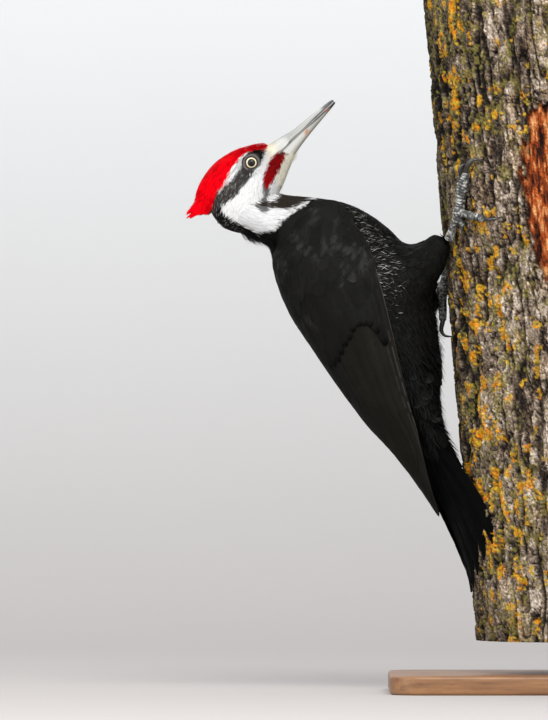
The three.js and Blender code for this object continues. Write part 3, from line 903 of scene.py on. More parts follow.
@dataclass(frozen=True)
class Markings:
    """The bird's colours as a function of place, the same on its skin and on its coat.

    A border is a line of u and v in millimetres in the head's frame, and the nape's one of v and u.
    """

    head: HeadFrame
    ragged: float = 0.6 * MM
    band_end: float = 0.0136
    chest_end: float = 0.0215
    white: Colour = shade(209, 209, 209)
    cream: Colour = shade(214, 206, 178)
    # painted light: the throat's own cream-white is painted paler than the other whites, so that the shade
    # under the bill reads bright
    throat: Colour = shade(238, 234, 216)
    black: Colour = shade(16, 16, 15)
    sooty: Colour = shade(50, 47, 46)
    brown_black: Colour = shade(44, 39, 33)
    crown: Colour = shade(212, 0, 14)
    moustache: Colour = shade(138, 0, 6)
    crown_edge: Line = (
        (-62, -10), (-47.7, -7.4), (-44, -5.3), (-40, -2.6), (-34.7, 0.5), (-25, 1.2), (-17.3, 5.2),
        (-8.2, 7), (-3.7, 8.1), (1, 8.4), (5.4, 6.5), (10, 4.5), (13.6, 0.4), (19.6, 0.8),
    )
    band_top: Line = (
        (-42, -5), (-36, -0.4), (-27.6, 0.3), (-16.3, 0.5), (-10.9, 2), (-5.2, 3.9), (-0.3, 6.4),
        (2.1, 7.3), (5.4, 6.8), (10, 4.8), (13.6, 0.2),
    )
    band_low: Line = (
        (-42, -9), (-33.8, -9.9), (-24.6, -11), (-14.7, -8.6), (-6.9, -8.1), (-0.4, -5.6), (3.7, -5),
        (7.8, -3.5), (11.9, -1), (13.6, 0.2),
    )
    neck_top: Line = (
        (-22, -24), (-17.5, -24.8), (-12.1, -28.1), (-5.6, -34.1), (1, -31.9), (2, -28), (19, -28),
    )
    neck_low: Line = (
        (-22.6, -32.4), (-18, -36.2), (-11.8, -39.8), (-6.9, -42.2), (-2, -44.4), (5, -46.4), (12, -48.0),
        (18, -49.6),
    )
    nape: Line = (
        (-60, 10), (-48.6, -21.3), (-45.1, -26), (-42.8, -30), (-39, -31.7), (-32.4, -33.7), (-25.1, -38.2),
        (-18.5, -40.1), (-13.6, -41.2), (-8.4, -38.9), (-4.6, -36.1), (2, -34),
    )
    shoulder: Line = (
        (-70, -60), (-45, -57), (-31, -54.6), (-25, -50.5), (-19, -48.3), (-11, -47), (-2, -47.9),
        (8, -49.9), (17, -51.6), (40, -54),
    )
    malar: Stripe = Stripe((
        (20.5, -10.8, 2.8), (17, -11.4, 4.2), (13, -12.4, 4.9), (7, -14.9, 4.6),
        (0.5, -17.6, 4.2), (-4.5, -21, 1.8),
    ))
    malar_tip: Stripe = Stripe(((19, -9.4, 0.6), (22.4, -10.6, 1.5), (23.4, -13, 0.6)))
    malar_tail: Stripe = Stripe((
        (-3.4, -18.4, 1.4), (-6, -22, 2.4), (-8.4, -24.6, 1.7), (-11.5, -28, 2.2), (-15, -31.5, 3.6),
    ))
    gular: Stripe = Stripe(((26, -17, 2.4), (14, -22.6, 2.6), (5, -27, 3)))

    def colours(self, points: Array, seed: int = 3) -> Array:
        """Each point's colour.

        Args:
            points: places on the bird.
            seed: the seed of the borders' raggedness.

        Returns:
            Linear colours.
        """
        random = dice(seed)
        u, v = self.head.read(points)
        u = u + random.normal(0, self.ragged, u.shape)
        v = v + random.normal(0, self.ragged, v.shape)
        painted = filled(self.white, points)
        band = np.minimum(along_line(self.band_top, u) - v, v - along_line(self.band_low, u))
        band = np.minimum(band, self.band_end - u)
        chest = np.minimum(along_line(self.neck_top, u) - v, v - along_line(self.neck_low, u))
        layers = (
            (self.cream, np.minimum(u - 0.012 - 0.4 * (v + 0.004), v + 0.034), 0.6),
            # the throat's stripe, painted paler than the white as painted light under the bill
            (self.throat, self.gular.reach(u, v), 0.55),
            (self.black, self.malar_tail.reach(u, v), 0.85),
            (self.brown_black, np.minimum(np.minimum(chest, 1.1 * u + v + 0.047), self.chest_end - u), 1.0),
            (self.black, np.minimum(along_line(self.nape, v) - u, -v), 1.0),
            (self.sooty, band, 1.0),
            (self.black, np.minimum(band, u - 0.002), 0.9),
            (self.moustache, self.malar.reach(u, v), 1.0),
            (self.brown_black, self.malar_tip.reach(u, v), 0.9),
            (self.black, along_line(self.shoulder, u) - v, 1.0),
            (self.crown, v - along_line(self.crown_edge, u), 1.0),
        )
        for colour, reach, strength in layers:
            soft = 0.004 if colour in (self.cream, self.throat) else 0.0006
            painted = mix(painted, colour, strength * ramp(-soft, soft, reach))
        rear = ramp(-0.010, -0.034, u) * ramp(-0.016, -0.008, v) * ramp(0.004, 0.0, v)
        pale = random.random(u.shape) < 0.09 * rear + 0.05 * ramp(-0.004, -0.01, u) * (v < 0)
        grizzled = (painted[..., 0] < 0.1) & pale & (v > -0.036)
        return np.where(grizzled[..., None], np.array(shade(128, 126, 122)), painted)


# ---- finishes
class Wiring:
    """A node tree that is being wired."""

    def __init__(self, tree: Tree) -> None:
        """Starts on a tree."""
        self.tree = tree

    def feed(self, node: Node, inputs: dict) -> None:
        """Links an output, or sets a value, for each of a node's inputs by its name or number."""
        for name, value in inputs.items():
            if isinstance(value, Link):
                self.tree.links.new(value, node.inputs[name])
            else:
                node.inputs[name].default_value = value

    def node(self, kind: str, inputs: dict | None = None, **settings: object) -> Node:
        """Adds a node of a kind with its own settings, and feeds it."""
        made = self.tree.nodes.new(kind)
        for name, value in settings.items():
            setattr(made, name, value)
        self.feed(made, inputs or {})
        return made

    def math(self, operation: str, a: object, b: object = 0.0) -> Link:
        """A sum, product or other function of two values."""
        return self.node("ShaderNodeMath", {0: a, 1: b}, operation=operation).outputs[0]

    def vector(self, operation: str, a: Link, b: object = (0, 0, 0)) -> Node:
        """A function of one or two vectors."""
        return self.node("ShaderNodeVectorMath", {0: a, 1: b}, operation=operation)

    def blend(self, share: object, a: object, b: object) -> Link:
        """Two colours mixed."""
        inputs = {0: share, 6: four(a), 7: four(b)}
        return self.node("ShaderNodeMix", inputs, data_type="RGBA").outputs[2]

    def spread(self, value: object, low: float, high: float, start: float = 0.0, end: float = 1.0) -> Link:
        """A value's range stretched to another, held at its ends."""
        ends = {"Value": value, "From Min": low, "From Max": high, "To Min": start, "To Max": end}
        return self.node("ShaderNodeMapRange", ends, clamp=True).outputs[0]

    def stretched(self, where: Link, scale: Triple) -> Link:
        """Places with each axis scaled."""
        return self.node("ShaderNodeMapping", {"Vector": where, "Scale": scale}).outputs[0]

    def places(self, scale: Triple = (1.0, 1.0, 1.0)) -> Link:
        """The piece's own places, stretched."""
        return self.stretched(self.node("ShaderNodeTexCoord").outputs["Object"], scale)

    def markings(self) -> Link:
        """The colours that the piece's corners carry."""
        return self.node("ShaderNodeAttribute", attribute_name="Markings").outputs["Color"]

    def vane(self) -> Link:
        """Places on each feather: across it and along it, in metres."""
        return self.node("ShaderNodeUVMap", uv_map="Vane").outputs[0]

    def noise(self, where: Link, scale: object, detail: float = 3.0, rough: float = 0.55) -> Link:
        """Noise from 0 to 1."""
        wanted = {"Vector": where, "Scale": scale, "Detail": detail, "Roughness": rough}
        return self.node("ShaderNodeTexNoise", wanted).outputs[0]

    def bump(self, height: Link, distance: float, strength: float = 1.0) -> Link:
        """A normal bent by a height."""
        bent = {"Height": height, "Distance": distance, "Strength": strength}
        return self.node("ShaderNodeBump", bent).outputs[0]


def four(colour: object) -> object:
    """A colour with its fourth channel; a link stays as it is."""
    return colour + (1.0,) if isinstance(colour, tuple) else colour


def mottle_group() -> Tree:
    """Cloudy variation of a colour, broad and fine, with the height that goes with it, as a node group."""
    tree = bpy.data.node_groups.new("mottle", "ShaderNodeTree")
    number, colour, vector = "NodeSocketFloat", "NodeSocketColor", "NodeSocketVector"
    for name, kind in {"Colour": colour, "Vector": vector, "Scale": number, "Amount": number}.items():
        tree.interface.new_socket(name, in_out="INPUT", socket_type=kind)
    for name, kind in {"Colour": colour, "Height": number}.items():
        tree.interface.new_socket(name, in_out="OUTPUT", socket_type=kind)
    wiring = Wiring(tree)
    colour, where, scale, amount = wiring.node("NodeGroupInput").outputs[:4]
    broad = wiring.noise(where, scale, 4.0, 0.5)
    fine = wiring.noise(where, wiring.math("MULTIPLY", scale, 7.0), 2.0, 0.5)
    height = wiring.math("ADD", wiring.math("MULTIPLY", broad, 0.65), wiring.math("MULTIPLY", fine, 0.35))
    swing = wiring.math("MULTIPLY", wiring.math("SUBTRACT", height, 0.5), amount)
    value = wiring.math("ADD", wiring.math("MULTIPLY", swing, 2.0), 1.0)
    varied = wiring.node("ShaderNodeHueSaturation", {"Value": value, "Color": colour}).outputs[0]
    wiring.node("NodeGroupOutput", {0: varied, 1: height})
    return tree


@dataclass
class Finishes:
    """The shared node groups, built once."""

    mottle: Tree = field(default_factory=mottle_group)

    def mottled(
        self, wiring: Wiring, colour: object, where: Link, scale: float, amount: float
    ) -> tuple[Link, Link]:
        """Places the mottle group in a material, and returns its colour and its height."""
        inputs = {"Colour": four(colour), "Vector": where, "Scale": scale, "Amount": amount}
        return tuple(wiring.node("ShaderNodeGroup", inputs, node_tree=self.mottle).outputs)


@dataclass(frozen=True)
class Finish:
    """A material, wired by each kind of finish in its own way."""

    name: str

    def wire(self, wiring: Wiring, finishes: Finishes) -> dict:
        """What feeds the main shader."""
        raise NotImplementedError

    def build(self, finishes: Finishes) -> Material:
        """The material."""
        made = bpy.data.materials.new(self.name)
        made.use_nodes = True
        wiring = Wiring(made.node_tree)
        wiring.feed(made.node_tree.nodes["Principled BSDF"], self.wire(wiring, finishes))
        return made


@dataclass(frozen=True)
class PlumageFinish(Finish):
    """Feathers that take their colour from the markings, with fine barbs and a faint gloss."""

    roughness: float = 0.65
    variation: float = 0.06
    gloss: float = 0.06
    combed: Triple = (2200.0, 260.0, 1.0)

    def wire(self, wiring: Wiring, finishes: Finishes) -> dict:
        """The markings a little mottled, and barbs drawn out along the feather."""
        colour, height = finishes.mottled(wiring, wiring.markings(), wiring.places(), 160.0, self.variation)
        barbs = wiring.noise(wiring.stretched(wiring.vane(), self.combed), 1.0, 2.0)
        return {
            "Base Color": colour,
            "Roughness": wiring.spread(height, 0.3, 0.7, self.roughness - 0.08, self.roughness + 0.08),
            "Normal": wiring.bump(barbs, 0.0001, 0.5),
            "Specular IOR Level": self.gloss,
        }


@dataclass(frozen=True)
class FlightFinish(Finish):
    """Big smooth feathers: barbs slant from the shaft in fine parallel lines, with a satin lustre."""

    roughness: float = 0.55
    spacing: float = 0.0007
    gloss: float = 0.012

    def wire(self, wiring: Wiring, finishes: Finishes) -> dict:
        """The markings mottled; the barbs are a sine of the length less the distance from the shaft."""
        where = wiring.places()
        colour, _ = finishes.mottled(wiring, wiring.markings(), where, 70.0, 0.45)
        split = wiring.node("ShaderNodeSeparateXYZ", {0: wiring.vane()})
        slant = wiring.math("SUBTRACT", split.outputs[1], wiring.math("ABSOLUTE", split.outputs[0]))
        wander = wiring.math("MULTIPLY", wiring.noise(where, 220.0), self.spacing * 2.5)
        phase = wiring.math("MULTIPLY", wiring.math("ADD", slant, wander), 2 * math.pi / self.spacing)
        lustre = wiring.noise(where, 45.0, 3.0)
        return {
            "Base Color": colour,
            "Roughness": wiring.spread(lustre, 0.3, 0.7, self.roughness - 0.1, self.roughness + 0.14),
            "Normal": wiring.bump(wiring.math("SINE", phase), 0.00004, 0.5),
            "Specular IOR Level": self.gloss,
        }


@dataclass(frozen=True)
class PaintedFinish(Finish):
    """A surface coloured corner by corner, roughened and bumped by fine noise: bark, scaly skin, horn."""

    roughness: float = 0.8
    scale: float = 400.0
    amount: float = 0.3
    bump: float = 0.0003
    coat: float = 0.0
    gloss: float = 0.35

    def wire(self, wiring: Wiring, finishes: Finishes) -> dict:
        """The markings mottled, smoother where the noise is high, under a coat where it has one."""
        markings, where = wiring.markings(), wiring.places()
        colour, height = finishes.mottled(wiring, markings, where, self.scale, self.amount)
        return {
            "Base Color": colour,
            "Roughness": wiring.spread(height, 0.3, 0.7, self.roughness + 0.08, self.roughness - 0.08),
            "Normal": wiring.bump(height, self.bump, 0.8),
            "Coat Weight": self.coat,
            "Coat Roughness": 0.2,
            "Specular IOR Level": self.gloss,
        }


@dataclass(frozen=True)
class EyeFinish(Finish):
    """A bird's eye in rings round its axis: pupil, streaked iris and dark edge, all wet."""

    middle: Triple
    pupil: float
    iris: float
    iris_colour: Colour = shade(236, 222, 188)
    streak_colour: Colour = shade(196, 172, 124)
    dark: Colour = shade(10, 8, 8)

    def wire(self, wiring: Wiring, finishes: Finishes) -> dict:
        """Rings by the distance from the axis, and streaks by the direction from it."""
        own = wiring.node("ShaderNodeTexCoord").outputs["Object"]
        moved = wiring.vector("SUBTRACT", own, self.middle).outputs[0]
        flat = wiring.vector("MULTIPLY", moved, (1, 0, 1)).outputs[0]
        out = wiring.vector("LENGTH", flat).outputs["Value"]
        streaks = wiring.noise(wiring.vector("NORMALIZE", flat).outputs[0], 14.0, 2.0)
        tint, _ = finishes.mottled(wiring, self.iris_colour, own, 900.0, 0.25)
        streaked = wiring.blend(wiring.spread(streaks, 0.4, 0.8), tint, self.streak_colour)
        edge = wiring.spread(out, self.iris - 0.0002, self.iris + 0.00015)
        inner = wiring.spread(out, self.pupil - 0.0001, self.pupil + 0.00018)
        return {
            "Base Color": wiring.blend(inner, self.dark, wiring.blend(edge, streaked, self.dark)),
            "Roughness": 0.3,
            "Specular IOR Level": 0.1,
            "Coat Weight": 0.45,
            "Coat Roughness": 0.02,
        }


@dataclass(frozen=True)
class WoodFinish(Finish):
    """Oiled hardwood whose grain runs along x."""

    pale: Colour = shade(150, 108, 70)
    deep: Colour = shade(98, 62, 36)
    pore: Colour = shade(52, 32, 20)

    def wire(self, wiring: Wiring, finishes: Finishes) -> dict:
        """Broad grain between two colours, and fine dark pores."""
        along = wiring.places((5.0, 55.0, 55.0))
        grain = wiring.noise(along, 3.0, 6.0, 0.65)
        pores = wiring.noise(wiring.places((60.0, 900.0, 900.0)), 1.0, 2.0)
        colour = wiring.blend(wiring.spread(grain, 0.3, 0.72), self.pale, self.deep)
        varied, _ = finishes.mottled(wiring, colour, along, 1.0, 0.18)
        return {
            "Base Color": wiring.blend(wiring.spread(pores, 0.62, 0.8, 0.0, 0.6), varied, self.pore),
            "Roughness": wiring.spread(grain, 0.2, 0.8, 0.36, 0.5),
            "Normal": wiring.bump(pores, 0.0001, 0.3),
        }


@dataclass(frozen=True)
class SteelFinish(Finish):
    """Brushed steel, the brush marks running round the rod."""

    colour: Colour = shade(172, 172, 170)

    def wire(self, wiring: Wiring, finishes: Finishes) -> dict:
        """Brush marks in the roughness and the normal."""
        marks = wiring.noise(wiring.places((30.0, 30.0, 2600.0)), 1.0, 3.0)
        tint, _ = finishes.mottled(wiring, self.colour, wiring.places(), 40.0, 0.08)
        return {
            "Base Color": tint,
            "Roughness": wiring.spread(marks, 0.2, 0.8, 0.24, 0.42),
            "Normal": wiring.bump(marks, 0.00003, 0.4),
            "Metallic": 1.0,
        }


@dataclass(frozen=True)
class BackdropFinish(Finish):
    """A matt backdrop from floor colour to wall colour, clear where it is seen from its back."""

    floor: Colour
    wall: Colour

    def wire(self, wiring: Wiring, finishes: Finishes) -> dict:
        """The colour by the height, a little cloudy; behind the surface the light passes."""
        where = wiring.places()
        height = wiring.node("ShaderNodeSeparateXYZ", {0: where}).outputs[2]
        colour = wiring.blend(wiring.spread(height, -0.05, 0.6), self.floor, self.wall)
        nodes = wiring.tree.nodes
        matt = nodes["Principled BSDF"].outputs[0]
        clear = wiring.node("ShaderNodeBsdfTransparent").outputs[0]
        behind = wiring.node("ShaderNodeNewGeometry").outputs["Backfacing"]
        shown = wiring.node("ShaderNodeMixShader", {0: behind, 1: matt, 2: clear}).outputs[0]
        wiring.feed(nodes["Material Output"], {"Surface": shown})
        return {"Base Color": finishes.mottled(wiring, colour, where, 0.6, 0.03)[0], "Roughness": 0.9}


# ---- the stand and the trunk
@dataclass(frozen=True)
class Stand:
    """The display stand: a flat base with rounded edges and two short rods with collars."""

    bevel: float = 2.4 * MM
    corner: float = 22 * MM
    collar: float = 9 * MM
    collar_height: float = 4 * MM

    def board(self, low: Array, high: Array) -> Patch:
        """The base: rings of a rounded rectangle, drawn in over the bevels at its top and bottom."""
        turn = np.linspace(0, np.pi / 2, 13)
        half = (high[:2] - low[:2]) / 2
        corners = []
        for quarter in range(4):
            angle = turn + quarter * np.pi / 2
            sign = np.array([(1, 1), (-1, 1), (-1, -1), (1, -1)][quarter])
            ray = np.stack([np.cos(angle), np.sin(angle)], -1)
            corners.append(np.concatenate([sign * (half - self.corner) + 0 * ray, ray], 1))
        outline = np.concatenate(corners)
        lean = np.linspace(0, np.pi / 2, 7)
        shrink = self.bevel * (1 - np.sin(lean))
        rise = low[2] + self.bevel * (1 - np.cos(lean))
        shrink = np.concatenate([[self.corner * 0.6], shrink, shrink[::-1], [self.corner * 0.6]])
        rise = np.concatenate([[low[2]], rise, high[2] - (rise[::-1] - low[2]), [high[2]]])
        middle = (low[:2] + high[:2]) / 2
        flat = middle + outline[None, :, :2] + outline[None, :, 2:] * (self.corner - shrink)[:, None, None]
        level = np.broadcast_to(rise[:, None, None], flat.shape[:2] + (1,))
        return closed_rings(np.concatenate([flat, level], -1))

    def rod(self, low: Array, high: Array) -> Patch:
        """A rod turned from its profile of radii and heights, with a collar where it enters the base."""
        radius = (high[0] - low[0]) / 2
        edge = 0.5 * MM
        top = low[2] + self.collar_height
        profile = np.array([
            (self.collar * 0.5, low[2]), (self.collar, low[2]), (self.collar, top - edge),
            (self.collar - edge, top), (radius + edge, top), (radius, top + edge), (radius, high[2]),
        ])
        angle = np.arange(48) / 48 * 2 * np.pi
        middle = (low[:2] + high[:2]) / 2
        rings = np.empty((len(profile), 48, 3))
        rings[..., 0] = middle[0] + profile[:, :1] * np.cos(angle)
        rings[..., 1] = middle[1] + profile[:, :1] * np.sin(angle)
        rings[..., 2] = profile[:, 1:]
        return closed_rings(rings)

    def build(self, finishes: Finishes) -> None:
        """Makes and dresses the pieces of the stand."""
        low, high = (np.array(corner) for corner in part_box("stand_base"))
        wood = WoodFinish("oiled wood").build(finishes)
        add_piece("stand_board", self.board(low, high), wood, "base_wood", ["stand_base"], 50)
        steel = SteelFinish("brushed steel").build(finishes)
        for side in Side:
            node = f"stand_rod_{side.word}"
            low, high = (np.array(corner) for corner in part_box(node))
            add_piece(f"stand_post_{side.word}", self.rod(low, high), steel, "rod_steel", [node], 50)


@dataclass(frozen=True)
class Trunk:
    """The cut length of trunk: its bark is a height and a colour worked out over angle and height.

    Sizes are in millimetres and degrees.
    """

    radius: float = 80.0
    bottom: float = 38.0
    top: float = 516.0
    bottom_x: float = 20.6
    lean: float = -0.0821
    furrow: float = 4.2
    raise_all: float = 1.6
    wound_angle: float = 91.0
    wound_half: float = 17.0
    wound_low: float = 296.0
    wound_high: float = 432.0
    near_angle: float = -24.0
    far_angle: float = 112.0
    near_columns: int = 250
    far_columns: int = 178
    rows: int = 534
    bands: int = 3
    tones: tuple[Colour, ...] = (
        shade(12, 10, 9), shade(50, 43, 38), shade(104, 92, 80), shade(160, 148, 135), shade(216, 209, 200),
    )
    woods: tuple[Colour, ...] = (
        shade(30, 14, 10), shade(98, 44, 20), shade(152, 74, 32), shade(190, 134, 84),
    )

    def angles(self) -> Array:
        """The columns' angles in degrees, from the bird's side towards its right, closest on its side."""
        near = np.linspace(self.near_angle, self.far_angle, self.near_columns, endpoint=False)
        far = np.linspace(self.far_angle, self.near_angle + 360, self.far_columns, endpoint=False)
        return np.concatenate([near, far])

    def bark(self, degrees: Array, z: Array) -> tuple[Array, Array]:
        """The bark's height over the trunk's radius in millimetres, and its colour.

        Furrows and cracks run where a soft noise, stretched upright, crosses its middle value. Between them
        one more noise is cut into steps, whose edges are the flakes' edges, and each step has its own tone.
        """
        angle = np.radians(degrees)
        turn = np.stack([self.radius * np.cos(angle), self.radius * np.sin(angle), z], -1)
        shift = 5.0 * (layered_noise(turn / (14, 14, 26), 5, 3) - 0.5)[..., None]

        def clear_of(width: float, height: float, seed: int, half: float) -> Array:
            """0 on a line where the noise crosses its middle value, rising to 1 beside it."""
            noise = layered_noise((turn + shift) / (width, width, height), seed, 3)
            return ramp(0.0, half, np.abs(noise - 0.5))

        plate = clear_of(12.0, 70.0, 21, 0.075)
        crack = clear_of(7.0, 24.0, 33, 0.045)
        split = clear_of(13.0, 7.0, 35, 0.034)
        split = 1 - (1 - split) * ramp(0.42, 0.5, layered_noise(turn / 11.0, 37, 2))
        nick = clear_of(2.6, 4.2, 43, 0.05)
        flake = 8 * layered_noise((turn + shift) / (6.0, 6.0, 11.0), 47, 3)
        step = np.floor(flake)
        tint = lattice_value(step[..., None], 49)
        ledge = step + ramp(0.0, 0.16, flake - step)
        grain = layered_noise(turn / (1.3, 1.3, 3.0), 51, 3)
        grit = layered_noise(turn / 0.85, 57, 2)
        swell = layered_noise(turn / (12, 12, 24), 59, 3)
        height = self.raise_all - self.furrow + self.furrow * plate * (0.8 + 0.4 * (swell - 0.5))
        height += plate * (0.8 * (ledge - 4) + 1.5 * (crack - 1) + 1.7 * (split - 1) + 0.5 * (nick - 1))
        height += 0.9 * (grain - 0.5) + 0.7 * (grit - 0.5)
        # painted shade: the tone falls in the furrows, cracks, splits and nicks, where the bark lies deeper,
        # and rises a little on each higher flake
        tone = 0.5 * (0.1 + 0.9 * plate) * (0.25 + 0.75 * crack) * (0.3 + 0.7 * split) * (0.8 + 0.2 * nick)
        tone = 1.16 * tone + (0.5 * (tint - 0.5) + 0.06 * (ledge - 4)) * plate
        tone += 0.3 * (grain - 0.5) + 0.6 * (swell - 0.5) + 0.75 * (grit - 0.5)
        # painted light and shade: the bark is painted lighter on the face turned to the camera and the
        # lamps, and darker towards the edge beside the bird, which is turned away from the light
        tone += 0.10 * ramp(30, 80, degrees) - 0.14 * ramp(46, 5, degrees)
        foot = 0.06 * ramp(330, 250, z)
        tone += foot - 0.10 * ramp(380, 460, z) * ramp(75, 40, degrees)
        colour = read_rows(np.array(self.tones), np.clip(tone, 0, 1))
        warm = ramp(0.5, 0.75, layered_noise(turn / 11, 61, 3))
        colour = mix(0.93 * colour, colour * (0.96, 0.82, 0.66), 0.25 + 0.6 * warm)
        return self.lichen(degrees, z, turn, grit, height, np.clip(colour, 0, 1))

    def lichen(
        self, degrees: Array, z: Array, turn: Array, grit: Array, height: Array, colour: Array
    ) -> tuple[Array, Array]:
        """Lays moss green specks, painted shade on the edge away from the light, orange crusts and the bare
        wound over the bark's height and colour.
        """
        belt = np.exp(-(((degrees - 42) / 26) ** 2)) * (1 - 0.75 * np.exp(-(((z - 372) / 40) ** 2)))
        speck = ramp(0.5, 0.6, layered_noise(turn / (2.4, 2.4, 3.2), 71, 3))
        green = speck * ramp(0.46, 0.62, layered_noise(turn / (12, 12, 20), 73, 3) + 0.08 * belt)
        colour = mix(colour, np.array(shade(132, 122, 62)) * (0.25 + 1.2 * grit[..., None]), 0.6 * green)
        # painted shade: the edge beside the bird, and round behind it, is painted darker and greener as the
        # side turned away from the light
        shaded_edge = (1 - ramp(-5, 28, degrees)) * 0.45
        colour = mix(colour, colour * (0.5, 0.6, 0.45), shaded_edge)
        arc = np.radians(degrees) * self.radius
        lobes = np.stack([arc / 2.0, z / 2.0], -1) + 1.1 * layered_noise(turn / 1.4, 77, 2)[..., None]
        near, _, value = cells_2d(lobes, 81)
        patches = layered_noise(turn / (5.5, 5.5, 9), 83, 3) + 0.13 * belt
        broken = ramp(0.33, 0.43, layered_noise(turn / 1.9, 87, 2))
        crust = ramp(0.7, 0.73, patches + 0.12 * (value - 0.5)) * ramp(0.85, 0.6, near) * broken
        tint = mix(filled(shade(208, 118, 8), colour), shade(178, 152, 44), value)
        colour = mix(colour, tint * (0.55 + 0.7 * grit[..., None]), 0.92 * crust)
        height = height + 0.7 * crust * (0.5 + 0.8 * grit)
        ragged = layered_noise(turn / (4, 4, 10), 91, 4) - 0.5
        middle, half = (self.wound_low + self.wound_high) / 2, (self.wound_high - self.wound_low) / 2
        narrow = np.sqrt(np.clip(1 - ((z - middle) / half) ** 2, 0, 1)) ** 0.8
        side = self.wound_half * narrow - np.abs(degrees - self.wound_angle) + 17 * ragged
        bare = ramp(-0.6, 1.2, side) * (np.abs(z - middle) < half)
        fibre = layered_noise(turn / (1.1, 1.1, 9), 95, 4)
        block = np.floor(9 * layered_noise(turn / (5, 5, 11), 97, 4)) / 9
        torn = np.clip(0.5 + 1.5 * (fibre - 0.5) + 2.6 * (block - 0.45) + 0.02 * (side - 8), 0, 1)
        wood = read_rows(np.array(self.woods), torn)
        rim = np.exp(-((side / 2.2) ** 2))
        colour = mix(mix(colour, wood, bare), shade(30, 18, 12), 0.8 * rim * bare)
        height = height * (1 - bare) + bare * (-4.0 + 2.0 * (fibre - 0.5) + 5.0 * (block - 0.5))
        return np.minimum(height, 2.0), np.clip(colour, 0, 1)

    def place(self, degrees: Array, height: Array, z: Array) -> Array:
        """Points on the trunk: angle, height over its radius and z, in millimetres."""
        turn = np.radians(degrees)
        reach = self.radius + height
        axis = self.bottom_x + self.lean * (z - self.bottom)
        return np.stack([axis - reach * np.cos(turn), -reach * np.sin(turn), z], -1) * MM

    def sawn(self, high: bool) -> Patch:
        """A sawn end: rings of growth from the bark in to the pith."""
        degrees = self.angles()
        z = np.full_like(degrees, self.top if high else self.bottom)
        edge, rim = self.bark(degrees, z)
        shares = np.array([1, 0.985, 0.965, 0.95, 0.93] + list(np.linspace(0.9, 0.03, 30)))
        reach = (self.radius + edge)[None] * shares[:, None]
        turn = np.radians(degrees)
        wobble = layered_noise(np.stack([3 * np.cos(turn), 3 * np.sin(turn), 0 * turn], -1), 3, 2)
        points = self.place(degrees[None] + 0 * reach, reach - self.radius, z[None] + 0 * reach)
        years = 0.5 + 0.5 * np.sin(reach * 2.4 + 3 * wobble[None])
        wood = mix(filled(shade(186, 150, 104), points), shade(142, 104, 64), years)
        paint = np.where((shares > 0.955)[:, None, None], np.array(shade(62, 44, 30)), wood)
        paint[0] = rim
        pith = np.append(self.place(0.0, -self.radius, z[0])[None], points.reshape(-1, 3), 0)
        columns = len(degrees)
        step = np.arange(columns)
        inner = (len(shares) - 1) * columns + 1
        faces = [grid_faces(len(shares), columns, True) + 1]
        faces.append(np.stack([inner + step, inner + (step + 1) % columns, np.zeros(columns, int)], -1))
        if high:
            faces = [face[:, ::-1] for face in faces]
        return Patch(pith, faces, {}, np.append(paint[-1, :1], paint.reshape(-1, 3), 0))

    def build(self, finishes: Finishes) -> None:
        """Makes the bark in bands and the sawn ends, and dresses them."""
        finish = PaintedFinish("bark", 0.9, 620.0, 1.9, 0.001, gloss=0.12).build(finishes)
        degrees = self.angles()
        z = np.linspace(self.bottom, self.top, self.rows)
        grid = np.meshgrid(degrees, z)
        height, colour = self.bark(*grid)
        points = self.place(grid[0], height, grid[1])
        limits = np.linspace(0, self.rows - 1, self.bands + 1).astype(int)
        columns = len(degrees)
        for index, (first, last) in enumerate(zip(limits[:-1], limits[1:])):
            part = slice(first, last + 1)
            faces = grid_faces(last + 1 - first, columns, True)[:, ::-1]
            patch = Patch(points[part].reshape(-1, 3), [faces], {}, colour[part].reshape(-1, 3))
            add_piece(f"bark_band_{index + 1}", patch, finish, "bark", ["perch_log"] if index == 0 else [])
        ends = join([self.sawn(False), self.sawn(True)])
        wood = PaintedFinish("sawn wood", 0.75, 300.0, 0.25, 0.0002).build(finishes)
        add_piece("sawn_ends", ends, wood, "bark")


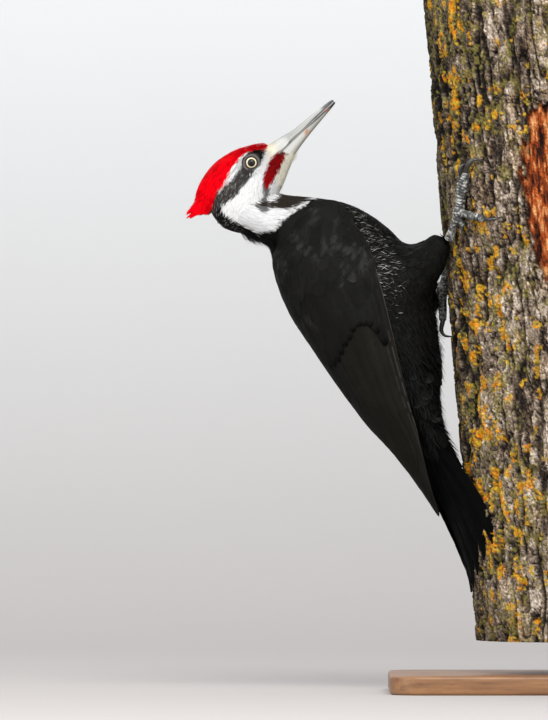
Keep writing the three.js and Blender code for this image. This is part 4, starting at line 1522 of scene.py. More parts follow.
# ---- bill, eyes, legs
@dataclass(frozen=True)
class Bill:
    """The chisel bill: two mandibles that meet along the seam, in millimetres in the head's frame.

    Each of `rows` is u, the ridge's v, the keel's v and the half width.
    """

    head: HeadFrame
    seam: float = -7.8
    gap: float = 0.16
    rows: tuple[tuple[float, float, float, float], ...] = (
        (15, 0.6, -18.8, 8.8), (19, 0.9, -18.6, 8.6), (27, -0.9, -17, 7.9), (38, -2.8, -14.7, 6.9),
        (50, -3.6, -12.7, 5.6), (62, -4.3, -11.1, 4.3), (70, -5, -10, 3.3), (74.4, -5.8, -9.3, 2.5),
        (75.4, -6.6, -8.7, 1.9),
    )
    horn: Colour = shade(168, 168, 163)
    slate: Colour = shade(34, 33, 34)

    def mandible(self, upper: bool) -> Patch:
        """One mandible: roof-shaped rings along the bill, with a ridge on top and a shelf on each side."""
        share = np.linspace(0, 1, 90)
        u, ridge, keel, half_width = read_rows(np.array(self.rows), share).T
        angle = np.linspace(0, np.pi, 33)
        lean = 1.12 if upper else 0.95
        side = np.sign(np.cos(angle)) * np.abs(np.cos(angle)) ** lean
        rise = np.sin(angle) ** 0.92
        slope = np.minimum(angle, np.pi - angle)
        shelf = 0.05 * np.exp(-(((slope - 0.72) / 0.13) ** 2)) if upper else 0 * angle
        groove = 0.05 * np.exp(-(((slope - 0.42) / 0.12) ** 2))
        full = 1 + shelf - (groove if upper else 0.4 * groove)
        edge = (ridge if upper else keel) - self.seam
        width = half_width * (1.0 if upper else 0.94)
        lip = self.gap if upper else -self.gap
        fade = ramp(0, 0.2, share) * (1 - ramp(0.6, 0.9, share))
        full = 1 + (full - 1) * fade[:, None]
        v = self.seam + lip + edge[:, None] * rise * full
        y = width[:, None] * side * full
        floor_y = width[:, None] * np.linspace(-0.8, 0.8, 9)
        floor_v = self.seam + lip + 0.22 * edge[:, None] * (1 - (floor_y / width[:, None]) ** 2)
        u_ring = np.repeat(u[:, None], 42, 1)
        v_ring, y_ring = np.concatenate([v, floor_v], 1), np.concatenate([y, floor_y], 1)
        flat = self.head.places(u_ring * MM, v_ring * MM)
        points = np.stack([flat[..., 0], y_ring * MM, flat[..., 1]], -1)
        across = np.concatenate([rise, np.zeros(9)])[None] + 0 * u_ring
        return self.painted(closed_rings(points, {"a": across[..., None], "u": u_ring[..., None]}), upper)

    def painted(self, patch: Patch, upper: bool) -> Patch:
        """Colours a mandible: pale horn with fine streaks, slate along its ridges, seam and tip."""
        across, u = patch.maps["a"][:, 0], patch.maps["u"][:, 0]
        streak = layered_noise(np.stack([u / 9, across * 9, patch.points[:, 1] / MM / 5], -1), 5, 3)
        cloud = layered_noise(patch.points / MM / 3.2, 15, 3)
        colour = np.array(self.horn) * np.clip(1.05 - 0.7 * (streak - 0.35), 0, 1.15)[:, None]
        tip = ramp(62, 71, u + 7 * (cloud - 0.5)) * 0.92
        near_tip = ramp(40, 66, u)
        seam = (1 - ramp(0.05 + 0.2 * near_tip, 0.2 + 0.3 * near_tip, across)) * 0.9
        if upper:
            line = np.exp(-(((across - 0.72 - 0.012 * (u - 27)) / 0.05) ** 2)) * ramp(22, 28, u)
            line = line * (1 - ramp(42, 54, u))
            keel = ramp(0.95, 1.0, across) * (0.9 - 0.5 * ramp(30, 50, u))
        else:
            line = ramp(0.8, 1.0, across) * ramp(26, 36, u) * 0.75
            keel = 0 * u
            colour = mix(colour, shade(206, 206, 202), 0.7 * (1 - ramp(40, 58, u)))
            colour = mix(colour, shade(150, 146, 112), 0.5 * ramp(0.5, 0.95, across))
        colour = mix(colour, self.slate, np.clip(np.maximum.reduce([tip, seam, 0.6 * line, keel]), 0, 1))
        stain = np.exp(-(((u - 45.6) / 2.2) ** 2)) * ramp(0.15, 0.35, across) * (0.0 if upper else 1.0)
        colour = mix(colour, shade(176, 104, 34), 0.85 * stain * ramp(0.35, 0.55, cloud))
        rust = np.exp(-(((u - 66.8) / 1.6) ** 2)) * (1 - ramp(0.5, 0.8, across))
        colour = mix(colour, shade(150, 78, 58), (0.0 if upper else 0.8) * rust)
        return Patch(patch.points, patch.faces, {}, np.clip(0.94 * colour, 0, 1))

    def build(self, finishes: Finishes) -> None:
        """Makes and dresses both mandibles."""
        horn = PaintedFinish("bill horn", 0.42, 500.0, 0.12, 0.00006, gloss=0.35).build(finishes)
        for upper, word in ((True, "upper"), (False, "lower")):
            add_piece(f"horn_{word}", self.mandible(upper), horn, "bill_horn", [f"bill_{word}"], 42)


@dataclass(frozen=True)
class Eye:
    """An eyeball with its cornea, and the lids and bare skin round it, on one side of the head.

    The lids' profile is radius and height over the eye's middle, in millimetres.
    """

    side: Side
    middle: Triple
    radius: float = 6.0 * MM
    profile: tuple[Pair, ...] = (
        (3.95, 3.6), (3.97, 4.1), (4.15, 4.5), (4.5, 4.62), (4.85, 4.35), (5.1, 4.3), (5.45, 4.5),
        (5.9, 4.35), (6.6, 3.2), (7.4, 1.9), (6.6, 0.8), (4.6, 1.8),
    )
    tilt: float = 0.12

    def ball(self) -> Patch:
        """The eyeball: rings round its axis from its front to its back, the cornea's bulge on the front."""
        turn = np.linspace(0.03, math.pi - 0.03, 48)
        angle = np.arange(64) / 64 * 2 * np.pi
        bulge = 1 + 0.05 * (1 - ramp(0.35, 0.7, turn))
        rings = np.empty((48, 64, 3))
        rings[..., 0] = (self.radius * np.sin(turn))[:, None] * np.cos(angle)
        rings[..., 2] = (self.radius * np.sin(turn))[:, None] * np.sin(angle)
        rings[..., 1] = (self.side.value * self.radius * bulge * np.cos(turn))[:, None]
        return closed_rings(rings + np.array(self.middle))

    def lids(self) -> Patch:
        """The lids: a ring turned from its profile, drawn to a point before and behind the eye."""
        angle = np.arange(96) / 96 * 2 * np.pi
        profile = np.array(self.profile) * MM
        tilted = angle - HEAD_PITCH
        corner = 1 + 0.10 * np.abs(np.cos(tilted)) ** 6 - 0.03 * np.abs(np.sin(tilted)) ** 4
        wrinkle = layered_noise(np.stack([4 * np.cos(angle), 4 * np.sin(angle)], -1), 31, 3) - 0.5
        reach = profile[:, :1] * (corner + 0.03 * wrinkle)
        lift = profile[:, 1:] + 0.3 * MM * wrinkle * (profile[:, :1] > 4.4 * MM)
        up = reach * np.sin(angle)
        rings = np.empty((len(profile), 96, 3))
        rings[..., 0] = self.middle[0] + reach * np.cos(angle)
        rings[..., 2] = self.middle[2] + up
        rings[..., 1] = self.middle[1] + self.side.value * (lift - self.tilt * up)
        points = rings.reshape(-1, 3)
        count = len(profile)
        quads = grid_faces(count, 96, True)
        last = (count - 1) * 96
        step = np.arange(96)
        following = (step + 1) % 96
        quads = np.concatenate([quads, np.stack([last + step, last + following, following, step], -1)])
        if self.side is Side.RIGHT:
            quads = quads[:, ::-1]
        reach = reach.reshape(-1)
        ring = ramp(4.9 * MM, 5.3 * MM, reach) * ramp(6.5 * MM, 6.1 * MM, reach)
        noise = layered_noise(points / MM / 0.7, 41, 2)
        low = ramp(0.002, -0.004, points[:, 2] - self.middle[2])
        dark = filled(shade(26, 20, 17), points)
        colour = mix(dark, mix(dark * 0 + shade(78, 75, 73), shade(92, 76, 72), low), ring)
        colour = colour * (0.75 + 0.5 * noise[:, None])
        return Patch(points, [quads], {}, np.clip(colour, 0, 1))

    def build(self, finishes: Finishes, skin: Material) -> None:
        """Makes and dresses the eyeball and its lids."""
        wet = EyeFinish(f"eye {self.side.word}", self.middle, 2.85 * MM, 3.8 * MM).build(finishes)
        add_piece(f"eyeball_{self.side.word}", self.ball(), wet, "eye", [f"eye_{self.side.word}"])
        add_piece(f"eyelids_{self.side.word}", self.lids(), skin, "scaly_skin")


@dataclass(frozen=True)
class Toe:
    """One toe: its end, its radius, its claw's tip as angle and height, and the claw's sideways arch."""

    end: Triple
    radius: float
    tip: Pair
    arch: float


@dataclass(frozen=True)
class Leg:
    """One leg. Hip and knee are points in millimetres.

    All else lies on the trunk: degrees round it, millimetres from its axis, and the height.
    """

    side: Side
    trunk: Trunk
    hip: Triple
    knee: Triple
    cuff: tuple[Triple, ...]
    ankle: Triple
    foot: Triple
    toes: tuple[Toe, ...]
    thigh_radii: tuple[float, ...] = (19, 17, 13, 7.5)
    tarsus_radius: float = 3.1
    claw_lift: float = 4.6

    def on_trunk(self, places: Array) -> Array:
        """Places on the trunk as points."""
        places = np.asarray(places, float)
        return self.trunk.place(places[..., 0], places[..., 1] - self.trunk.radius, places[..., 2])

    def thigh(self) -> Tube:
        """The feathered thigh, down to its cuff."""
        points = np.concatenate([np.array([self.hip, self.knee]) * MM, self.on_trunk(self.cuff)])
        return Tube(points, np.array(self.thigh_radii) * MM, 0.3, 0.14)

    def tarsus(self) -> Tube:
        """The bare shank between the ankle and the foot."""
        ends = np.array([self.ankle, self.foot])
        points = self.on_trunk(np.stack([ends[0], ends.mean(0), ends[1]]))
        return Tube(points, np.array([1.15, 0.85, 1.2]) * self.tarsus_radius * MM, 0.1, 0.1)

    def toe(self, toe: Toe) -> Tube:
        """A toe from the ball of the foot to its claw."""
        share = np.array([0, 1 / 3, 2 / 3, 1])[:, None]
        places = np.array(self.foot) + (np.array(toe.end) - np.array(self.foot)) * share
        return Tube(self.on_trunk(places), np.array([1.25, 1, 1.08, 0.92]) * toe.radius * MM, 0.12, 0.1)

    def claw(self, toe: Toe) -> Tube:
        """A claw, curved from inside its toe to a point on the bark."""
        foot, end = np.array(self.foot), np.array(toe.end)
        tip = np.array([toe.tip[0], self.trunk.radius + 0.6, toe.tip[1]])
        path = [
            foot + 0.7 * (end - foot),
            end,
            end + 0.4 * (tip - end) + (0, self.claw_lift, 0.8 * toe.arch),
            end + 0.72 * (tip - end) + (0, self.claw_lift, toe.arch),
            tip,
        ]
        radii = np.array([0.55, 0.66, 0.56, 0.36, 0.14]) * toe.radius * MM
        return Tube(self.on_trunk(path), radii, 0.1, 0.0)

    def scaled(self, tube: Tube, pitch: float, seed: int, around: int = 28) -> Patch:
        """A tube of skin: rows of plates across its outer side, and small round scales elsewhere."""
        length = np.linalg.norm(np.diff(tube.middle(np.linspace(0, 1, 60)), axis=0), axis=1).sum()
        rows = max(24, int(length / (0.32 * MM)))
        t, w = np.meshgrid(np.linspace(0.01, 0.99, rows), np.arange(around) / around, indexing="ij")
        points, _, _, outward, _, _ = tube.frame(t, w)
        axis = tube.core(t)
        trunk_x = self.trunk.bottom_x * MM + self.trunk.lean * (axis[..., 2] - self.trunk.bottom * MM)
        away = np.stack([trunk_x, 0 * t], -1)
        out = unit(np.concatenate([axis[..., :2] - away, 0 * t[..., None]], -1))
        facing = np.einsum("...i,...i->...", outward, out)
        along = t * length / (pitch * MM) + 0.6 * layered_noise(np.stack([t * 9, w * 4], -1), seed, 2)
        plate = np.abs(np.sin(np.pi * along)) ** 0.45
        near, second, value = cells_2d(np.stack([w * around * 0.55, t * length / (0.85 * MM)], -1), seed + 3)
        pebble = ramp(0.0, 0.35, second - near)
        top = ramp(0.05, 0.45, facing)
        relief = mix((0.45 * (pebble - 0.6))[..., None], (0.95 * (plate - 0.75))[..., None], top)[..., 0]
        carried = {"r": np.stack([plate, pebble, top, value], -1)}
        shape = closed_rings(points + outward * (relief * MM)[..., None], carried)
        plate, pebble, top, value = shape.maps["r"].T
        groove = np.where(top > 0.5, plate, pebble)
        mottle = ramp(0.42, 0.62, layered_noise(shape.points / MM / 1.8, seed, 3))
        tone = np.clip(groove**2.2 * (0.12 + 0.9 * mottle) * (0.45 + 0.9 * value), 0, 1)
        dark = filled(shade(17, 17, 18), shape.points)
        shape.paint = mix(dark, shade(186, 186, 180), tone)
        shape.maps = {}
        return shape

    def horny(self, claw: Tube) -> Patch:
        """A claw's shape, streaked and darker towards its point."""
        t, w = np.meshgrid(np.linspace(0.02, 1, 48), np.arange(20) / 20, indexing="ij")
        points, middle = claw.place(t, w), claw.core(t)
        squeezed = middle + (points - middle) * np.where(t < 0.98, 1.0, 0.5)[..., None]
        shape = closed_rings(squeezed, {"t": t[..., None]})
        tone = 0.75 + 0.5 * layered_noise(shape.points / MM * (2, 2, 0.7), 87, 3)
        shape.paint = np.array(shade(58, 56, 54)) * tone[:, None] * (1 - 0.45 * shape.maps["t"])
        shape.maps = {}
        return shape

    def pad(self) -> Patch:
        """The ball of the foot, where the toes meet."""
        centre = self.on_trunk(self.foot)
        line = centre + np.array([0, 0, 1.0]) * np.linspace(-4.2, 4.2, 5)[:, None] * MM
        return self.scaled(Tube(line, np.array([3.6, 4.4, 4.6, 4.4, 3.6]) * MM, 0.45, 0.45), 1.7, 71, 36)

    def build(self, skin: Material, horn: Material) -> None:
        """Makes and dresses the shank, the foot and the claws."""
        word = self.side.word
        shank = self.scaled(self.tarsus(), 2.2, 61, 32)
        add_piece(f"shank_{word}", shank, skin, "scaly_skin", [f"tarsus_{word}"])
        toes = [self.scaled(self.toe(toe), 1.75, 65 + index) for index, toe in enumerate(self.toes)]
        add_piece(f"toes_{word}", join([self.pad(), *toes]), skin, "scaly_skin", [f"foot_{word}"])
        claws = join([self.horny(self.claw(toe)) for toe in self.toes])
        names = [f"claw_{word}_{index}" for index in (1, 2, 3, 4)]
        add_piece(f"claws_{word}", claws, horn, "claw_horn", names)


# ---- tail and wings
@dataclass(frozen=True)
class TailFan:
    """Ten stiff tail feathers that prop the bird on the bark, the middle pair outermost.

    Sizes are in millimetres. Each of `feathers` is y and z of the tip, and the half width.
    """

    trunk: Trunk
    root: Pair = (-118.0, 206.0)
    root_spread: float = 2.2
    stack: float = 0.85
    feathers: tuple[Triple, ...] = (
        (8, 73, 9.8), (18, 77, 9.4), (29.5, 86, 9.0), (41, 97, 8.6), (51, 109, 7.8),
    )
    inner_bow: Triple = (16, 0, -9)
    outer_bow: Triple = (19, 4.5, 1)
    roll: float = 0.3
    tent: float = 1.4
    thickness: float = 0.55
    colour: Colour = shade(7, 7, 7)

    def feather(self, side: Side, index: int) -> Patch:
        """One feather: a rachis that stands proud along its middle, and a vane with a worn edge."""
        tip_y, tip_z, half_width = self.feathers[index]
        outwards = index / (len(self.feathers) - 1)
        reach = self.trunk.radius + 2.4
        root_y = side.value * (1 + self.root_spread * index)
        root = np.array([self.root[0] + index * self.stack, root_y, self.root[1]])
        axis = self.trunk.bottom_x + self.trunk.lean * (tip_z - self.trunk.bottom)
        tip = np.array([axis - math.sqrt(reach**2 - tip_y**2), side.value * tip_y, tip_z])
        bow = mix(np.array(self.inner_bow), self.outer_bow, outwards) * (1, side.value, 1)
        bend = root + 0.6 * (tip - root) + bow
        across, up = np.array(Section.FLIGHT.value).T
        t = np.linspace(0.0, 0.995, 72)[:, None]
        line = (1 - t) ** 2 * root + 2 * t * (1 - t) * bend + t**2 * tip
        tangent = unit(2 * (1 - t) * (bend - root) + 2 * t * (tip - bend))
        lie = math.asin(tip_y / self.trunk.radius)
        roll = lie * (1 + self.roll * (1 - t)) + self.tent * (1 - outwards) * (1 - t) ** 1.2
        roll = side.value * roll * np.minimum(1, 3 * t)
        flat = np.concatenate([np.sin(roll), np.cos(roll), 0 * roll], 1)
        thick = unit(np.cross(flat, tangent))
        outline = np.minimum(1, (1 - t) / 0.22) ** 0.8 * (0.6 + 0.4 * np.minimum(1, t / 0.4))
        edges = np.stack([t[:, 0] * 55 + 9 * index, t[:, 0] * 0 + side.value], -1)
        wear = np.stack([layered_noise(edges, 5, 2), layered_noise(edges + 40, 6, 2)], -1)
        notch = 1 - (0.05 + 0.22 * ramp(0.7, 0.95, t)) * ramp(0.45, 0.8, wear)
        half = half_width * outline * np.where(across < 0, notch[:, :1], notch[:, 1:])
        cup = -0.10 * half_width * across**2
        points = line[:, None] + flat[:, None] * (half * across)[..., None]
        points = points + thick[:, None] * (self.thickness * up + cup * outline)[..., None]
        length = np.linalg.norm(tip - root)
        vane = np.stack([half * across * MM, (t * length * MM) + 0 * half], -1)
        cell = np.array([(index + (5 if side is Side.LEFT else 0)) / 10 + 0.05, 0.0])
        plot = np.stack([cell[0] + 0.04 * across + 0 * half, 0.02 + 0.96 * t + 0 * half], -1)
        grain = np.stack([t * 30 + 0 * half, across * 2 + 5 * index + 0 * half], -1)
        tone = 0.8 + 0.35 * layered_noise(grain, 9, 3)
        rachis = (np.abs(across) < 0.05) & (up > 0)
        paint = np.array(self.colour) * tone[..., None]
        paint = np.where(rachis[None, :, None], np.array(shade(13, 12, 11)), paint)
        patch = closed_rings(points * MM, {"OFBake": plot, "Vane": vane, "paint": paint})
        patch.paint = patch.maps.pop("paint")
        return patch

    def build(self, finish: Material) -> None:
        """Makes and dresses the whole fan."""
        feathers = [self.feather(side, index) for index in range(len(self.feathers)) for side in Side]
        add_piece("tail_feathers", join(feathers), finish, "flight_plumage", ["tail"], 55)


FLIGHT_CUT = Cut(Section.FLIGHT, tuple(np.linspace(0, 0.985, 26)), 0.16, 0.12 * MM, 0.0, 1.0, True, 0.01)
VANE_CUT = Cut(Section.VANE, (0.0, 0.18, 0.4, 0.62, 0.8, 0.92, 0.98), 0.42, 0.05 * MM, 0.0, 1.0, True, 0.012)


@dataclass(frozen=True)
class FeatherRow:
    """A row of wing feathers, outermost first: t and w of roots and tips, and sizes in millimetres."""

    name: str
    count: int
    roots: tuple[Pair, ...]
    tips: tuple[Pair, ...]
    half_width: Pair
    depth: Pair
    lift: Pair
    colour: Colour
    edge_strength: float
    cut: Cut = FLIGHT_CUT
    dark_tip: float = 0.0

    def grow(self, wing: WingShell, seed: int) -> Patch:
        """The row on a wing, its outer webs edged with the edge colour."""
        random = dice(seed)
        share = np.linspace(0, 1, self.count)

        def read(keys: Sequence[Sequence[float]]) -> Array:
            """Evenly spaced keys read at each feather's share of the row."""
            keys = np.array(keys, float)
            even = np.linspace(0, 1, len(keys))
            return np.stack([np.interp(share, even, column) for column in keys.T], -1)

        root, tip = read(self.roots), read(self.tips)
        tip = tip + random.normal(0, 0.003, tip.shape)
        _, _, _, _, whole_t, whole_w = wing.frame(root[:, 0], (root[:, 1] + tip[:, 1]) / 2)
        forward = (tip - root)[:, 0] * whole_t
        aside = (tip - root)[:, 1] * whole_w
        sizes = (self.half_width, self.depth, self.lift)
        size, depth, lift = (read(np.array([pair]).T)[:, 0] * MM for pair in sizes)
        length, turn = np.hypot(forward, aside), np.arctan2(aside, forward)
        roots = Roots(root[:, 0], root[:, 1], turn, length, size, depth, lift)
        tufts = grow(wing, roots, self.cut)
        tone = 1 + 0.06 * random.normal(0, 1, self.count)
        outer = -wing.side.value * tufts.across
        streak = layered_noise(np.stack([tufts.across * 3 + 7 * tufts.root, tufts.share * 6], -1), seed, 3)
        dark = 1 - self.dark_tip * ramp(0.9, 0.97, tufts.share)
        paint = np.array(self.colour) * (tone[tufts.root] * (0.8 + 0.4 * streak) * dark)[:, None]
        edged = ramp(0.8, 1.0, outer) * ramp(0.02, 0.2, tufts.share)
        edged = edged * (1 - ramp(0.9, 1, tufts.share))
        fading = np.interp(share, (0, 0.2, 0.3, 1), (1, 0.5, 0.08, 0.02))[tufts.root]
        tufts.patch.paint = np.clip(mix(paint, PALE_EDGE, self.edge_strength * fading * edged), 0, 1)
        return tufts.patch


BLACK = shade(23, 23, 22)
BROWN = shade(26, 25, 22)
PALE_EDGE = shade(72, 68, 65)
WING_ROWS = (
    FeatherRow(
        "primaries", 9,
        ((0.11, 0.955), (0.13, 0.9), (0.15, 0.85), (0.17, 0.8), (0.19, 0.75), (0.2, 0.7)),
        ((0.885, 0.95), (0.92, 0.88), (0.955, 0.8), (0.985, 0.7), (0.996, 0.6), (0.98, 0.5), (0.94, 0.42),
         (0.88, 0.36), (0.8, 0.32)),
        (4.6, 8.5), (2.0, 1.6), (-1.1, -0.3), BROWN, 0.8,
    ),
    FeatherRow(
        "secondaries", 9,
        ((0.21, 0.78), (0.28, 0.3)),
        ((0.79, 0.6), (0.77, 0.46), (0.72, 0.34), (0.66, 0.2)),
        (8.5, 10.0), (1.5, 1.2), (-0.25, 0.0), BROWN, 0.05,
    ),
    FeatherRow(
        "tertials", 4,
        ((0.26, 0.32), (0.28, 0.1)),
        ((0.63, 0.24), (0.55, 0.08)),
        (10.0, 9.0), (1.2, 0.9), (0.05, 0.2), BLACK, 0.08,
    ),
    FeatherRow(
        "primary_coverts", 7,
        ((0.13, 0.93), (0.17, 0.72)),
        ((0.40, 0.95), (0.43, 0.76)),
        (4.2, 5.0), (1.0, 0.8), (-0.2, 0.0), BLACK, 0.2, VANE_CUT,
    ),
    FeatherRow(
        "greater_coverts", 13,
        ((0.3, 0.9), (0.33, 0.5), (0.33, 0.12)),
        ((0.505, 0.91), (0.465, 0.84), (0.465, 0.76), (0.47, 0.66), (0.485, 0.55), (0.5, 0.42),
         (0.515, 0.28), (0.5, 0.12)),
        (6.0, 7.5), (0.7, 0.6), (0.12, 0.16), BLACK, 0.06, VANE_CUT, 0.75,
    ),
    FeatherRow(
        "alula", 3,
        ((0.10, 0.965), (0.12, 0.9)),
        ((0.34, 0.97), (0.28, 0.9)),
        (3.6, 4.0), (0.9, 0.8), (0.1, 0.2), BLACK, 0.4, VANE_CUT,
    ),
)


@dataclass(frozen=True)
class Tract:
    """How the tufts of one tract are cut and laid: their cut, and sizes in millimetres."""

    cut: Cut
    length: float
    half_width: float
    depth: float
    lift: float
    splay: float = 0.12
    vary: float = 0.14

    def roots(self, t: Array, w: Array, turn: Array | float, seed: int, scale: Array | float = 1.0) -> Roots:
        """Roots at t and w, each tuft a little longer or shorter and turned a little aside."""
        random = dice(seed)
        count = len(t)
        size = scale * np.clip(1 + self.vary * random.normal(0, 1, count), 0.55, 1.5) * MM
        return Roots(
            t=t,
            w=w,
            turn=turn + self.splay * random.normal(0, 1, count),
            length=self.length * size,
            width=self.half_width * size,
            depth=np.full(count, self.depth * MM),
            lift=(self.lift * size + 0.12 * MM * random.normal(0, 1, count)),
        )

    def grown(
        self, form: Form, t: Array, w: Array, turn: Array | float, seed: int, scale: Array | float = 1.0,
        lift: Array | float = 0.0,
    ) -> Tufts:
        """This tract's tufts on a form, their tips further out by a lift in metres."""
        roots = self.roots(t, w, turn, seed, scale)
        roots.lift = roots.lift + lift
        return grow(form, roots, self.cut)


@dataclass(frozen=True)
class WingCoat:
    """The feathers of one folded wing: its rows, and small feathers over its front."""

    wing: WingShell
    lesser: Tract = Tract(VANE_CUT, 15.0, 6.0, 0.4, 0.0, 0.06)
    scapular: Tract = Tract(VANE_CUT, 27.0, 8.0, 0.4, 0.05, 0.05)
    fringe: Tract = Tract(VANE_CUT, 9.0, 2.6, 0.5, 0.1, 0.15)

    def small(
        self, tract: Tract, span_t: Pair, span_w: Pair, step: Pair, turn: float, seed: int
    ) -> Patch:
        """Small feathers in rows."""
        t, w = in_rows(self.wing, span_t, span_w, (step[0] * MM, step[1] * MM), 0.12, seed)
        tufts = tract.grown(self.wing, t, np.clip(w, 0, 1), turn, seed)
        random = dice(seed + 1)
        base = np.array(BLACK) * (1 + 0.1 * random.normal(0, 1, len(t)))[:, None]
        # painted highlight: each feather's tip is painted 6% lighter than the rest of it
        patch = paint_tufts(tufts, np.clip(base, 0, 1), np.clip(base * 1.06, 0, 1), shadow=0.0)
        # painted sheen: soft grey patches, broken up by fine mottling, stand for the satin lustre that the
        # light brings out on some coverts
        sheen_patch = ramp(0.5, 0.66, form_noise(patch.points, 12 * MM, seed))
        mottle = ramp(0.42, 0.62, form_noise(patch.points, 2.6 * MM, seed + 2))
        patch.paint = mix(patch.paint, shade(56, 56, 55), 0.5 * sheen_patch * mottle)
        return patch

    def build(self, finish: Material) -> None:
        """Makes and dresses the wing's feathers."""
        seed = 100 + self.wing.side.value
        word = self.wing.side.word
        rows = {row.name: row.grow(self.wing, seed + index) for index, row in enumerate(WING_ROWS)}
        flight = [rows[name] for name in ("primaries", "secondaries", "tertials", "alula")]
        add_piece(f"flight_feathers_{word}", join(flight), finish, "flight_plumage", [f"wing_{word}"], 55)
        coverts = [rows["primary_coverts"], rows["greater_coverts"]]
        coverts.append(self.small(self.lesser, (-0.03, 0.335), (0.0, 0.985), (5.0, 5.6), 0.0, seed + 11))
        coverts.append(self.small(self.scapular, (0.06, 0.40), (0.0, 0.26), (9.0, 8.0), 0.05, seed + 12))
        coverts.append(self.small(self.fringe, (0.03, 0.3), (0.93, 1.0), (3.5, 3.4), -0.1, seed + 13))
        add_piece(f"wing_coverts_{word}", join(coverts), finish, "flight_plumage", crease=55)


def form_noise(points: Array, size: float, seed: int) -> Array:
    """Soft noise at points, its lumps about a size across."""
    return layered_noise(points / size + 100, seed, 3)


# ---- flesh and coat
LOCK_CUT = Cut(Section.LOCK, (0.0, 0.35, 0.72), 0.7, 0.09 * MM, cup=0.0, rise=0.7)
HAIR_CUT = Cut(Section.LOCK, (0.0, 0.5), 0.8, 0.07 * MM, cup=0.0, rise=0.7)
BODY_CUT = Cut(Section.VANE, (0, 0.2, 0.45, 0.7, 0.86, 0.93, 0.975), 0.45, 0.05 * MM, 0.0, 0.8, False, 0.015)


